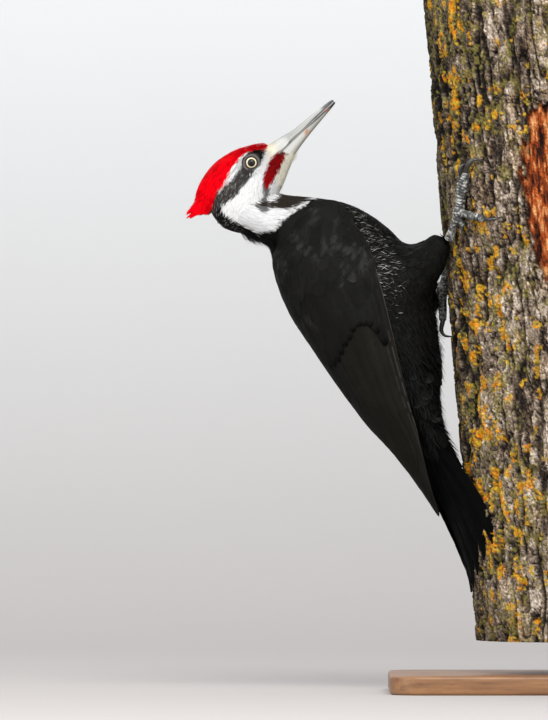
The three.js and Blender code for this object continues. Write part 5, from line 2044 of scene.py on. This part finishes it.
@dataclass(frozen=True)
class Bird:
    """The bird's forms, its flesh under them and the coat over it."""

    head_frame: HeadFrame
    head: Loft
    crest: Loft
    body: Draped
    muzzle: Loft
    wings: dict[Side, WingShell]
    thighs: dict[Side, Tube]
    markings: Markings
    face: Tract = Tract(HAIR_CUT, 5.0, 0.34, 0.9, 0.12, 0.2)
    neck: Tract = Tract(HAIR_CUT, 7.5, 0.36, 1.4, 0.2, 0.2)
    crown: Tract = Tract(LOCK_CUT, 11.0, 0.45, 2.0, 0.2, 0.14)
    breast: Tract = Tract(BODY_CUT, 12.0, 3.0, 1.6, 0.1, 0.16)
    dash: Tract = Tract(HAIR_CUT, 3.6, 0.17, -0.7, 0.7, 0.3, 0.3)
    lobe: Tract = Tract(VANE_CUT, 15.0, 5.2, 1.4, 2.2, 0.35, 0.25)
    wisps: Tract = Tract(LOCK_CUT, 11.0, 0.42, 1.8, 0.35, 0.16)
    plume: Tract = Tract(LOCK_CUT, 10.5, 0.34, 1.8, 2.6, 0.1)
    shin: Tract = Tract(LOCK_CUT, 8.0, 0.5, 1.3, 0.2, 0.14)
    bristle: Tract = Tract(HAIR_CUT, 7.0, 0.3, 0.5, 0.25, 0.07)
    voxel: float = 1.5 * MM
    ease_rounds: int = 6
    crest_end: Line = (
        (-12, -46), (-7.6, -47.7), (-6, -46.5), (-3.5, -51), (-2, -50), (-0.3, -54.5), (0.6, -61),
        (2.8, -55), (5.3, -60), (7.5, -50), (14, -44),
    )

    def flesh(self, finish: Material) -> None:
        """One skin over all the flesh: the forms, thinner by the coat's depth, melted together."""
        parts = [
            self.head.inset(1.2 * MM).solid(64, 60),
            self.crest.inset(2.4 * MM).solid(48, 50),
            self.body.inset(2.2 * MM).solid(96, 140),
        ]
        parts += [self.thighs[side].inset(1.8 * MM).solid(32, 40) for side in Side]
        parts += [self.wings[side].slab(2.3 * MM, 9 * MM, 0.72) for side in Side]
        parts = [Patch(part.points, part.faces) for part in parts]
        rough = add_object("rough_flesh", fill_mesh("rough_flesh", join(parts)))
        melt = rough.modifiers.new("melt", "REMESH")
        melt.mode = "VOXEL"
        melt.voxel_size = self.voxel
        ease = rough.modifiers.new("ease", "SMOOTH")
        ease.iterations = self.ease_rounds
        mesh = bpy.data.meshes.new_from_object(rough.evaluated_get(bpy.context.evaluated_depsgraph_get()))
        bpy.data.objects.remove(rough)
        points = np.empty(len(mesh.vertices) * 3, np.float32)
        mesh.vertices.foreach_get("co", points)
        paint_mesh(mesh, self.markings.colours(points.reshape(-1, 3).astype(float)) * 0.9)
        mesh.polygons.foreach_set("use_smooth", np.ones(len(mesh.polygons), bool))
        mesh.name = "flesh"
        nodes = ["head", "crest", "neck", "torso", "thigh_right", "thigh_left"]
        finish_piece("flesh", mesh, finish, "black_plumage", nodes)

    def hairs(
        self, form: Form, tract: Tract, places: tuple[Array, Array], turn: Array, seed: int, scale: Array,
        lift: Array | float = 0,
    ) -> Patch:
        """Grows hair-like feathers and gives them the markings.

        Args:
            form: the form they grow on.
            tract: how they are cut and laid.
            places: t and w of their roots.
            turn: which way they lie.
            seed: the seed of their scatter.
            scale: their size, as a share of the tract's.
            lift: metres that the tips stand further out.

        Returns:
            The coloured tufts.
        """
        tufts = tract.grown(form, *places, turn, seed, scale, lift)
        colour = self.markings.colours(tufts.ends, seed)
        front, _ = self.head_frame.read(tufts.ends)
        redness = (colour[:, 0] > 4 * colour[:, 2]) & (front > -0.05)
        tone = 1 + (0.09 + 0.16 * redness) * dice(seed).normal(0, 1, len(colour))
        tone = tone - 0.9 * redness * (form_noise(tufts.ends, 3.5 * MM, seed) - 0.42)
        # painted shade: the red is painted up to 30% darker towards the forehead, on the lower front of the
        # crest
        tone = tone * (1 - 0.3 * redness * ramp(-0.012, 0.014, front))
        base = np.clip(colour * tone[:, None], 0, 1)
        # painted shade at the roots (shadow 0.3), and each tip painted a little lighter than the rest as a
        # faint highlight where the light catches it
        return paint_tufts(tufts, base * 0.96, np.clip(base * 1.05, 0, 1), shadow=0.3)

    def face_coat(self, side: Side) -> Patch:
        """Short feathers over one side of the head below the crown, shortest round the bill and the eye."""
        t, w = scattered(self.head, (0.03, 0.93), side.span, 0.58 * MM, 11)
        points = self.head.place(t, w)
        u, v = self.head_frame.read(points)
        bare = np.hypot(u, v)
        top = along_line(self.markings.crown_edge, u)
        keep = (bare > 5.8 * MM) & (np.hypot(u - 2.4 * MM, v) > 5.7 * MM)
        keep &= (v < top + 1.5 * MM) & (self.body.holds(points) < 0.25)
        keep &= (u < 24 * MM) | (v < -15 * MM)
        t, w, u, v, bare = t[keep], w[keep], u[keep], v[keep], bare[keep]
        clear = ramp(6.5 * MM, 12 * MM, bare)
        scale = (0.5 + 0.7 * ramp(0.022, -0.03, u)) * (0.7 + 0.3 * clear)
        throat = ramp(-0.018, -0.026, v) * ramp(-0.016, -0.008, u)
        turn = 0.35 * downwards(w) * ramp(0.0, 0.3, t)
        lift = 1.6 * MM * throat * dice(13).random(len(t)) ** 2
        return self.hairs(self.head, self.face, (t, w), turn, 12, scale * (1 + 0.9 * throat), lift)

    def neck_coat(self, side: Side) -> Patch:
        """Longer, soft feathers over one side of the neck, which stand out raggedly along the nape."""
        t, w = scattered(self.body, (0.03, 0.44), side.span, 0.66 * MM, 21)
        points = self.body.place(t, w)
        ahead = self.body.place(t + 0.035, w)
        keep = self.head.inset(2 * MM).holds(points) < 0
        keep &= self.open_air(points, -0.06) & self.open_air(ahead, -0.02)
        t, w, points = t[keep], w[keep], points[keep]
        random = dice(23)
        behind = ramp(0.16, 0.05, np.minimum(w, 1 - w)) * ramp(0.34, 0.24, t)
        lift = behind * 5.5 * MM * random.random(len(t)) ** 5
        return self.hairs(self.body, self.neck, (t, w), 0.1 * downwards(w), 22, 1 + 0.4 * behind, lift)

    def crest_coat(self) -> Patch:
        """Red locks, short on the forehead and longest at the back, where they part into tips."""
        t, w = scattered(self.crest, (0.02, 0.985), (0.0, 1.0), 0.7 * MM, 31)
        points = self.crest.place(t, w)
        u, v = self.head_frame.read(points)
        top = along_line(self.markings.crown_edge, u)
        spiky = 2.5 * MM * (form_noise(points * (0, 1, 0), 2.2 * MM, 34) - 0.5)
        room = (u - along_line(self.crest_end, v + 0.25 * (3 * MM - v)) - spiky) / (self.crown.length * MM)
        keep = (v > top - 0.5 * MM) & (np.hypot(u, v) > 7 * MM) & (u < 19.3 * MM) & (room > 0.12)
        t, w, u, room = t[keep], w[keep], u[keep], room[keep]
        scale = np.minimum(0.4 + 0.7 * ramp(0.014, -0.02, u), room)
        return self.hairs(self.crest, self.crown, (t, w), 0.12 * downwards(w), 32, scale)

    def open_air(self, points: Array, spare: float = 0.02) -> Array:
        """Whether points of the body lie clear of the wings, but for a little more or less at the edge."""
        covered = np.maximum(*(self.wings[side].covers(points) for side in Side))
        return covered < 0.08 + spare

    def flecks(self, points: Array, seed: int) -> Array:
        """Which feathers end in a fine white edge: rows beside the wing's lower edge, fewer further down."""
        x, z = points[:, 0] / MM, points[:, 2] / MM
        edge = np.interp(z, (236, 262, 288, 325, 350), (-113, -122, -129, -141, -158))
        near = ramp(23, 4, x - edge) * (0.1 + 0.9 * ramp(278, 312, z))
        near = near * ramp(262, 284, z) * ramp(362, 340, z)
        return dice(seed).random(len(points)) < 0.7 * near

    def body_coat(self) -> Patch:
        """Contour feathers over the trunk where the wings leave it open."""
        t, w = in_rows(self.body, (0.37, 0.97), (0.0, 1.0), (3.5 * MM, 3.65 * MM), 0.22, 41)
        points = self.body.place(t, np.mod(w, 1))
        keep = self.open_air(points)
        t, w, points = t[keep], w[keep], points[keep]
        scale = np.interp(t, (0.37, 0.5, 0.8, 1), (0.75, 0.9, 1.05, 1.2))
        tufts = self.breast.grown(self.body, t, w, 0.08 * downwards(w), 42, scale)
        base = self.markings.colours(tufts.ends, 43)
        tone = 1 + 0.14 * dice(44).normal(0, 1, len(base))
        base = np.clip(1.3 * base * tone[:, None], 0.003, 1)
        # the tips are painted 1.3 times lighter as a highlight, and the roots darker as painted shade
        return paint_tufts(tufts, base, np.clip(base * 1.3, 0, 1), (0.9, 0.97))

    def fleck_coat(self) -> Patch:
        """Fine white edges of flank feathers, each a short pale barb that lies slanting across the coat."""
        t, w = in_rows(self.body, (0.38, 0.75), (0.0, 1.0), (2.2 * MM, 0.9 * MM), 0.35, 47)
        points = self.body.place(t, np.mod(w, 1))
        keep = self.open_air(points) & self.flecks(points, 45)
        t, w = t[keep], w[keep]
        random = dice(48)
        turn = downwards(w) * (0.75 + 0.25 * random.normal(0, 1, len(t)))
        scale = 0.55 + 0.75 * random.random(len(t))
        tufts = self.dash.grown(self.body, t, w, turn, 48, scale)
        bright = np.array(shade(205, 204, 198)) * (0.07 + 0.6 * random.random(len(t)) ** 3)[:, None]
        return paint_tufts(tufts, bright, bright, shadow=0.6)

    def wisp_coat(self) -> Patch:
        """Loose barbs that break the outline of the belly and the vent, and soften the flanks."""
        t, w = scattered(self.body, (0.40, 0.96), (0.12, 0.88), 1.6 * MM, 51)
        points = self.body.place(t, w)
        keep = self.open_air(points)
        t, w = t[keep], w[keep]
        scale = np.interp(t, (0.42, 0.7, 0.96), (0.7, 0.9, 1.25))
        chance = dice(53).random(len(t))
        lift = MM * ramp(0.5, 0.7, t) * (1.6 * chance**2 + 4.5 * chance**8)
        return self.hairs(self.body, self.wisps, (t, w), 0.1 * downwards(w), 52, scale, lift)

    def vent_coat(self) -> Patch:
        """Soft round feathers under the tail, fringed by loose barbs; rims and tips painted lighter as
        highlights.
        """
        t, w = in_rows(self.body, (0.68, 0.95), (0.24, 0.76), (7.0 * MM, 6.6 * MM), 0.5, 61)
        random = dice(63)
        turn = 0.12 * downwards(w)
        tone = (1 + 0.4 * random.normal(0, 1, len(t)))[:, None]
        lobes = self.lobe.grown(self.body, t, w, turn, 64, 0.8 + 0.4 * random.random(len(t)))
        base = np.clip(np.array(shade(5, 5, 5)) * tone, 0.0003, 1)
        # painted highlight: about a third of the rims are painted eight times lighter than the feather and
        # the rest twice as light, and the roots are painted in deep shade (shadow 0.8)
        rim = 2 + 6 * (random.random((len(t), 1)) < 0.3)
        round_feathers = paint_tufts(lobes, base, np.clip(base * rim, 0, 0.022), (0.4, 0.98), 0.8)
        barbs = 16
        t, w, tone = np.repeat(t, barbs), np.repeat(w, barbs), np.repeat(tone, barbs, 0)
        fan = np.tile(np.linspace(-1, 1, barbs), len(t) // barbs)
        t = t + 0.012 + 0.006 * random.normal(0, 1, len(t))
        w = w + 0.024 * fan * downwards(w)
        scale = 0.75 + 0.4 * random.random(len(t))
        tufts = self.plume.grown(self.body, t, w, 0.5 * fan * downwards(w), 62, scale)
        base = np.clip(np.array(shade(8, 8, 8)) * tone, 0.0006, 1)
        # painted highlight and shade: the barbs' tips are painted four times lighter and their roots in deep
        # shade
        return join([round_feathers, paint_tufts(tufts, base, np.clip(base * 4, 0, 1), (0.45, 0.95), 0.85)])

    def thigh_coat(self, side: Side) -> Patch:
        """Fine black feathers down the end of a thigh, with pale wisps at the cuff."""
        thigh = self.thighs[side]
        t, w = scattered(thigh, (0.45, 0.97), (0.0, 1.0), 0.8 * MM, 71)
        scale = np.interp(t, (0, 0.8, 1), (1.3, 1.0, 0.8))
        tufts = self.shin.grown(thigh, t, w, 0.0, 72, scale)
        random = dice(73)
        base = np.array(self.markings.black) * (1 + 0.16 * random.normal(0, 1, len(t)))[:, None]
        base = np.clip(base, 0.003, 1)
        start, paler = (0.9, 0.0) if side is Side.RIGHT else (0.55, 0.75)
        pale = (t > start) & (random.random(len(t)) < paler)
        tip = np.where(pale[:, None], np.array(shade(190, 187, 180)), np.clip(base * 1.3, 0, 1))
        # the black locks' tips are painted 1.3 times lighter as a highlight, and the roots darker as painted
        # shade
        return paint_tufts(tufts, np.where(pale[:, None], tip * 0.4, base), tip, (0.2, 0.7))

    def muzzle_coat(self) -> Patch:
        """Cream bristles that lie forward along the bill's base, over the nostrils and under the chin."""
        t, w = scattered(self.muzzle, (0.02, 0.62), (0.0, 1.0), 0.46 * MM, 81)
        points = self.muzzle.place(t, w)
        u, v = self.head_frame.read(points)
        nasal = (u < 23 * MM) & (v > -7.2 * MM) & ((np.abs(points[:, 1]) > 0.9 * MM) | (u < 18 * MM))
        chin = (u < 28 * MM) & (v < -14.6 * MM - 0.3 * (u - 14 * MM))
        keep = (nasal & (u > 12.5 * MM)) | (chin & (u > 16 * MM))
        share = np.interp(u, (0.0, 0.019, 0.023, 0.028), (1, 0.9, 0.6, 0.4))
        keep &= dice(84).random(len(t)) < share
        t, w, nasal = t[keep], w[keep], nasal[keep]
        scale = np.where(nasal, 1.0, 0.8) * np.ones(len(t))
        lift = np.where(nasal, 0, 3.4 * MM) * dice(83).random(len(t)) ** 5
        tufts = self.bristle.grown(self.muzzle, t, w, 0.0, 82, scale, lift)
        u, v = self.head_frame.read(tufts.ends)
        yellow = ramp(0.027, 0.016, u) * ramp(-0.008, -0.003, v)
        base = mix(filled(shade(194, 194, 191), tufts.ends), shade(212, 202, 162), yellow)
        # painted light: the chin bristles are painted paler than the white, so that the shade under the bill
        # reads bright
        base = mix(base, shade(238, 234, 218), ramp(-0.012, -0.016, v))
        tone = 1 + 0.06 * dice(85).normal(0, 1, len(t))
        base = np.clip(base * tone[:, None], 0, 1)
        return paint_tufts(tufts, base, base, shadow=0.1)

    def build(self, finishes: Finishes) -> None:
        """Makes and dresses the flesh and every tract of the coat."""
        skin = PaintedFinish("skin", 0.8, 300.0, 0.15, 0.0002, gloss=0.1).build(finishes)
        soft = PlumageFinish("soft plumage").build(finishes)
        red = PlumageFinish("red plumage", roughness=0.6, gloss=0.02).build(finishes)
        black = PlumageFinish("black plumage", roughness=0.55, variation=0.2, gloss=0.03).build(finishes)
        self.flesh(skin)
        dress = partial(add_piece, crease=60)
        for side in Side:
            dress(f"face_feathers_{side.word}", self.face_coat(side), soft, "white_plumage")
            dress(f"neck_feathers_{side.word}", self.neck_coat(side), soft, "white_plumage")
            dress(f"thigh_feathers_{side.word}", self.thigh_coat(side), black, "black_plumage")
        dress("muzzle_bristles", self.muzzle_coat(), soft, "white_plumage")
        dress("crest_feathers", self.crest_coat(), red, "red_plumage")
        dress("body_feathers", self.body_coat(), black, "black_plumage")
        dress("flank_flecks", self.fleck_coat(), soft, "white_plumage")
        dress("body_wisps", self.wisp_coat(), black, "black_plumage")
        dress("vent_plumes", self.vent_coat(), black, "black_plumage")


# ---- studio
@dataclass(frozen=True)
class Studio:
    """The floor that sweeps up into a backdrop, seen only from its front, the lights and the camera."""

    look_x: float = -0.2095
    look_z: float = 0.244
    distance: float = 8.82
    lens: float = 600.0
    floor: Colour = shade(174, 168, 165)
    wall: Colour = shade(233, 234, 234)

    def sweep(self, finishes: Finishes) -> None:
        """A floor that curves up behind, its colour going from warm grey to a cool white."""
        profile = [(-6.0, 0.0), (1.2, 0.0)]
        turns = np.linspace(0.1, np.pi / 2, 14)
        profile += [(1.2 + 1.6 * math.sin(a), 1.6 - 1.6 * math.cos(a)) for a in turns]
        profile += [(2.8, 6.0)]
        line = np.array(profile)
        x = np.linspace(-7, 7, 3)
        rows = np.empty((len(line), len(x), 3))
        rows[..., 0] = x
        rows[..., 1:] = line[:, None, :]
        patch = Patch(rows.reshape(-1, 3), [grid_faces(len(line), len(x), False)])
        made = add_object("sweep", fill_mesh("sweep", patch))
        made.data.materials.append(BackdropFinish("backdrop", self.floor, self.wall).build(finishes))

    def light(self, name: str, place: Sequence[float], size: float, power: float, colour: Colour) -> None:
        """An area light turned towards the bird."""
        lamp = bpy.data.lights.new(name, "AREA")
        lamp.size = size
        lamp.energy = power
        lamp.color = colour
        made = add_object(name, lamp)
        made.location = place
        aim = np.array((self.look_x + 0.05, 0.0, 0.26)) - np.array(place)
        pitch = math.atan2(math.hypot(aim[0], aim[1]), -aim[2])
        made.rotation_euler = (pitch, 0, math.atan2(-aim[0], aim[1]))

    def build(self, finishes: Finishes) -> None:
        """Sets up floor, lights, world and camera."""
        scene = bpy.context.scene
        scene.view_settings.view_transform = "Standard"
        self.sweep(finishes)
        self.light("key", (0.3, -2.3, 2.1), 1.7, 84.0, (1.0, 0.99, 0.97))
        self.light("catch", (-0.75, -2.2, 1.35), 0.1, 2.5, (1.0, 1.0, 1.0))
        self.light("fill", (-1.9, -1.5, 0.9), 1.8, 26.0, (0.97, 0.98, 1.0))
        self.light("bounce", (1.0, -2.0, 0.3), 1.2, 9.0, (1.0, 0.99, 0.98))
        self.light("rim", (-1.2, 1.0, 1.8), 1.0, 14.0, (0.96, 0.98, 1.0))
        world = bpy.data.worlds.new("studio")
        world.use_nodes = True
        background = world.node_tree.nodes["Background"]
        background.inputs[0].default_value = shade(228, 231, 235) + (1.0,)
        background.inputs[1].default_value = 0.8
        scene.world = world
        camera = bpy.data.cameras.new("camera")
        camera.lens = self.lens
        camera.sensor_width = 36.0
        camera.clip_end = 50.0
        made = add_object("camera", camera)
        made.location = (self.look_x, -self.distance, self.look_z)
        made.rotation_euler = (math.pi / 2, 0, 0)
        scene.camera = made


# Rows of the head, the crest and, below, the muzzle: u, top v, bottom v and half width, in millimetres.
HEAD_ROWS = (
    (33, -3.6, -13, 4.6), (27, -2.4, -17.2, 7.4), (20.5, -1.2, -20.8, 9.8), (14, 3, -23.4, 12.2),
    (6, 7, -26.8, 14.6), (-3, 10, -30, 16.8), (-13, 11.5, -34.5, 18.6), (-23, 11, -38, 19.4),
    (-32, 8, -38, 18.4), (-40, 3, -34, 15.5), (-47.5, -4, -26, 10.5),
)
CREST_ROWS = (
    (20.5, 1.4, -1.5, 2.5), (14.2, 7, -2, 6.5), (6, 11.6, 0, 10.5), (-1, 14.8, 0, 13), (-9.3, 17, -1, 14.8),
    (-18.1, 18.2, -3, 15), (-27.5, 17.5, -5, 13.5), (-36.9, 15, -7, 11), (-44.3, 11.6, -8.5, 7.5),
    (-50, 8.2, -8, 5), (-57, 6.2, -3.6, 3.6), (-65, 5.2, 1, 1.6),
)
# Rows of the body: x and z of the back, x and z of the belly, and the half width, in millimetres.
BODY_ROWS = (
    (-247.7, 361.6, -220.5, 375, 12), (-251.6, 347.4, -208.2, 368.6, 18.5),
    (-240.8, 340.4, -201, 365.2, 20.5), (-227, 334, -190.8, 364.2, 24), (-213.6, 327.4, -174.2, 362.4, 31),
    (-209.5, 311.6, -155.8, 358.7, 38), (-203.4, 292.7, -136.7, 349.1, 42),
    (-193.9, 274, -119.1, 334.4, 43.5), (-179.2, 255.2, -103, 311.6, 43), (-160, 239.4, -92.8, 285.9, 40),
    (-141.5, 222.8, -88.6, 258.7, 36), (-124.3, 206.4, -88, 234, 31), (-109, 189, -89, 211, 26),
    (-98, 171, -83.5, 188, 21), (-90, 153, -68, 158, 15),
)
MUZZLE_ROWS = (
    (11, 3.4, -23.6, 12.4), (15, 1.6, -20.4, 10.4), (19, 1.25, -18.9, 9.0), (27, -0.6, -17.3, 8.2),
    (38, -2.5, -15, 7.2), (50, -3.3, -13, 5.9),
)
# Rows of a wing: x and z of its dorsal edge and of its ventral edge, half width, the share of the
# section's depth that it covers, and half the gap between the wings. All but the share in millimetres.
WING_OUTLINE = (
    (-192, 352, -181, 362, 27, 0.5, 12), (-204, 341, -161, 359.5, 38.5, 0.72, 11),
    (-211.5, 322, -149, 342, 44, 0.78, 10), (-209, 303, -139, 326, 47.5, 0.77, 8),
    (-198, 277, -131.5, 302, 49, 0.71, 5.5), (-181.5, 251.6, -125, 275, 48, 0.65, 4),
    (-164, 226.5, -118, 245, 44, 0.6, 1.2), (-146.3, 201.6, -110, 212, 38.5, 0.56, 1.2),
    (-128, 180, -104, 190, 32, 0.5, 1.2), (-112.5, 161.5, -99, 168, 25.5, 0.45, 1.2),
    (-99.5, 143.5, -93.5, 147, 19, 0.4, 1.6), (-88.6, 126, -86.8, 127, 13, 0.35, 4),
)
WING_UNITS = np.array([MM, MM, MM, MM, MM, 1.0, MM])
RIGHT_TOES = (
    Toe((38.8, 83.9, 378.5), 2.7, (43.6, 387.5), 1.2),
    Toe((43, 84.2, 381), 3.1, (53.5, 388.8), 3.4),
    Toe((52.5, 83.8, 346.8), 2.6, (62.5, 348.6), -1.2),
    Toe((36.5, 84, 341.5), 2.1, (38.5, 334), -1),
)
LEFT_TOES = (
    Toe((-21.4, 84.4, 320), 2.7, (-25, 330), 4.5),
    Toe((-27.2, 84.6, 325), 3.1, (-34.4, 333.5), 5.5),
    Toe((-37.4, 84.2, 290.5), 2.9, (-48, 292), -0.6),
    Toe((-11.8, 88.4, 273), 2.8, (-10.4, 261.2), -2.6),
)


def main() -> None:
    """Builds the whole model in order."""
    logging.basicConfig(level=logging.INFO, format="%(name)s: %(message)s")
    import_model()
    finishes = Finishes()
    eye_low, eye_high = (np.array(corner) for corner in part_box("eye_right"))
    eye_middle = (eye_low + eye_high) / 2
    head_frame = HeadFrame(float(eye_middle[0]), float(eye_middle[2]))
    trunk = Trunk()
    legs = {
        Side.RIGHT: Leg(
            Side.RIGHT, trunk, (-131, -17, 298), (-105, -19, 311),
            ((15.5, 97, 318.5), (20.5, 87.5, 332.5)),
            (26, 86.5, 332), (36, 85.5, 352),
            RIGHT_TOES,
        ),
        Side.LEFT: Leg(
            Side.LEFT, trunk, (-134, 17, 296), (-116, 24, 290),
            ((-21, 106, 289), (-21.5, 99, 294)),
            (-22.5, 107, 281), (-18, 88.5, 296.5),
            LEFT_TOES,
        ),
    }
    wings = {side: WingShell(np.array(WING_OUTLINE) * WING_UNITS, side) for side in Side}
    bird = Bird(
        head_frame,
        Loft(head_frame.rows(HEAD_ROWS), 0.1, 0.2, 0.55),
        Loft(head_frame.rows(CREST_ROWS), 0.1, 0.12, 0.6, (0.02, 0.88)),
        Draped(Loft(np.array(BODY_ROWS) * MM, 0.12, 0.12, 0.5), tuple(legs[side].thigh() for side in Side)),
        Loft(head_frame.rows(MUZZLE_ROWS), 0.001, 0.001, 0.44),
        wings,
        {side: legs[side].thigh() for side in Side},
        Markings(head_frame),
    )
    skin = PaintedFinish("scaly skin", 0.6, 900.0, 0.25, 0.0001, gloss=0.4).build(finishes)
    horn = PaintedFinish("claw horn", 0.34, 700.0, 0.2, 0.00006, coat=0.2, gloss=0.5).build(finishes)
    flight = FlightFinish("flight feathers").build(finishes)
    Stand().build(finishes)
    trunk.build(finishes)
    bird.build(finishes)
    for side in Side:
        WingCoat(wings[side]).build(flight)
        legs[side].build(skin, horn)
        Eye(side, (head_frame.eye_x, side.value * 9.0 * MM, head_frame.eye_z)).build(finishes, skin)
    TailFan(trunk).build(flight)
    Bill(head_frame).build(finishes)
    Studio().build(finishes)


if __name__ == "__main__":
    main()
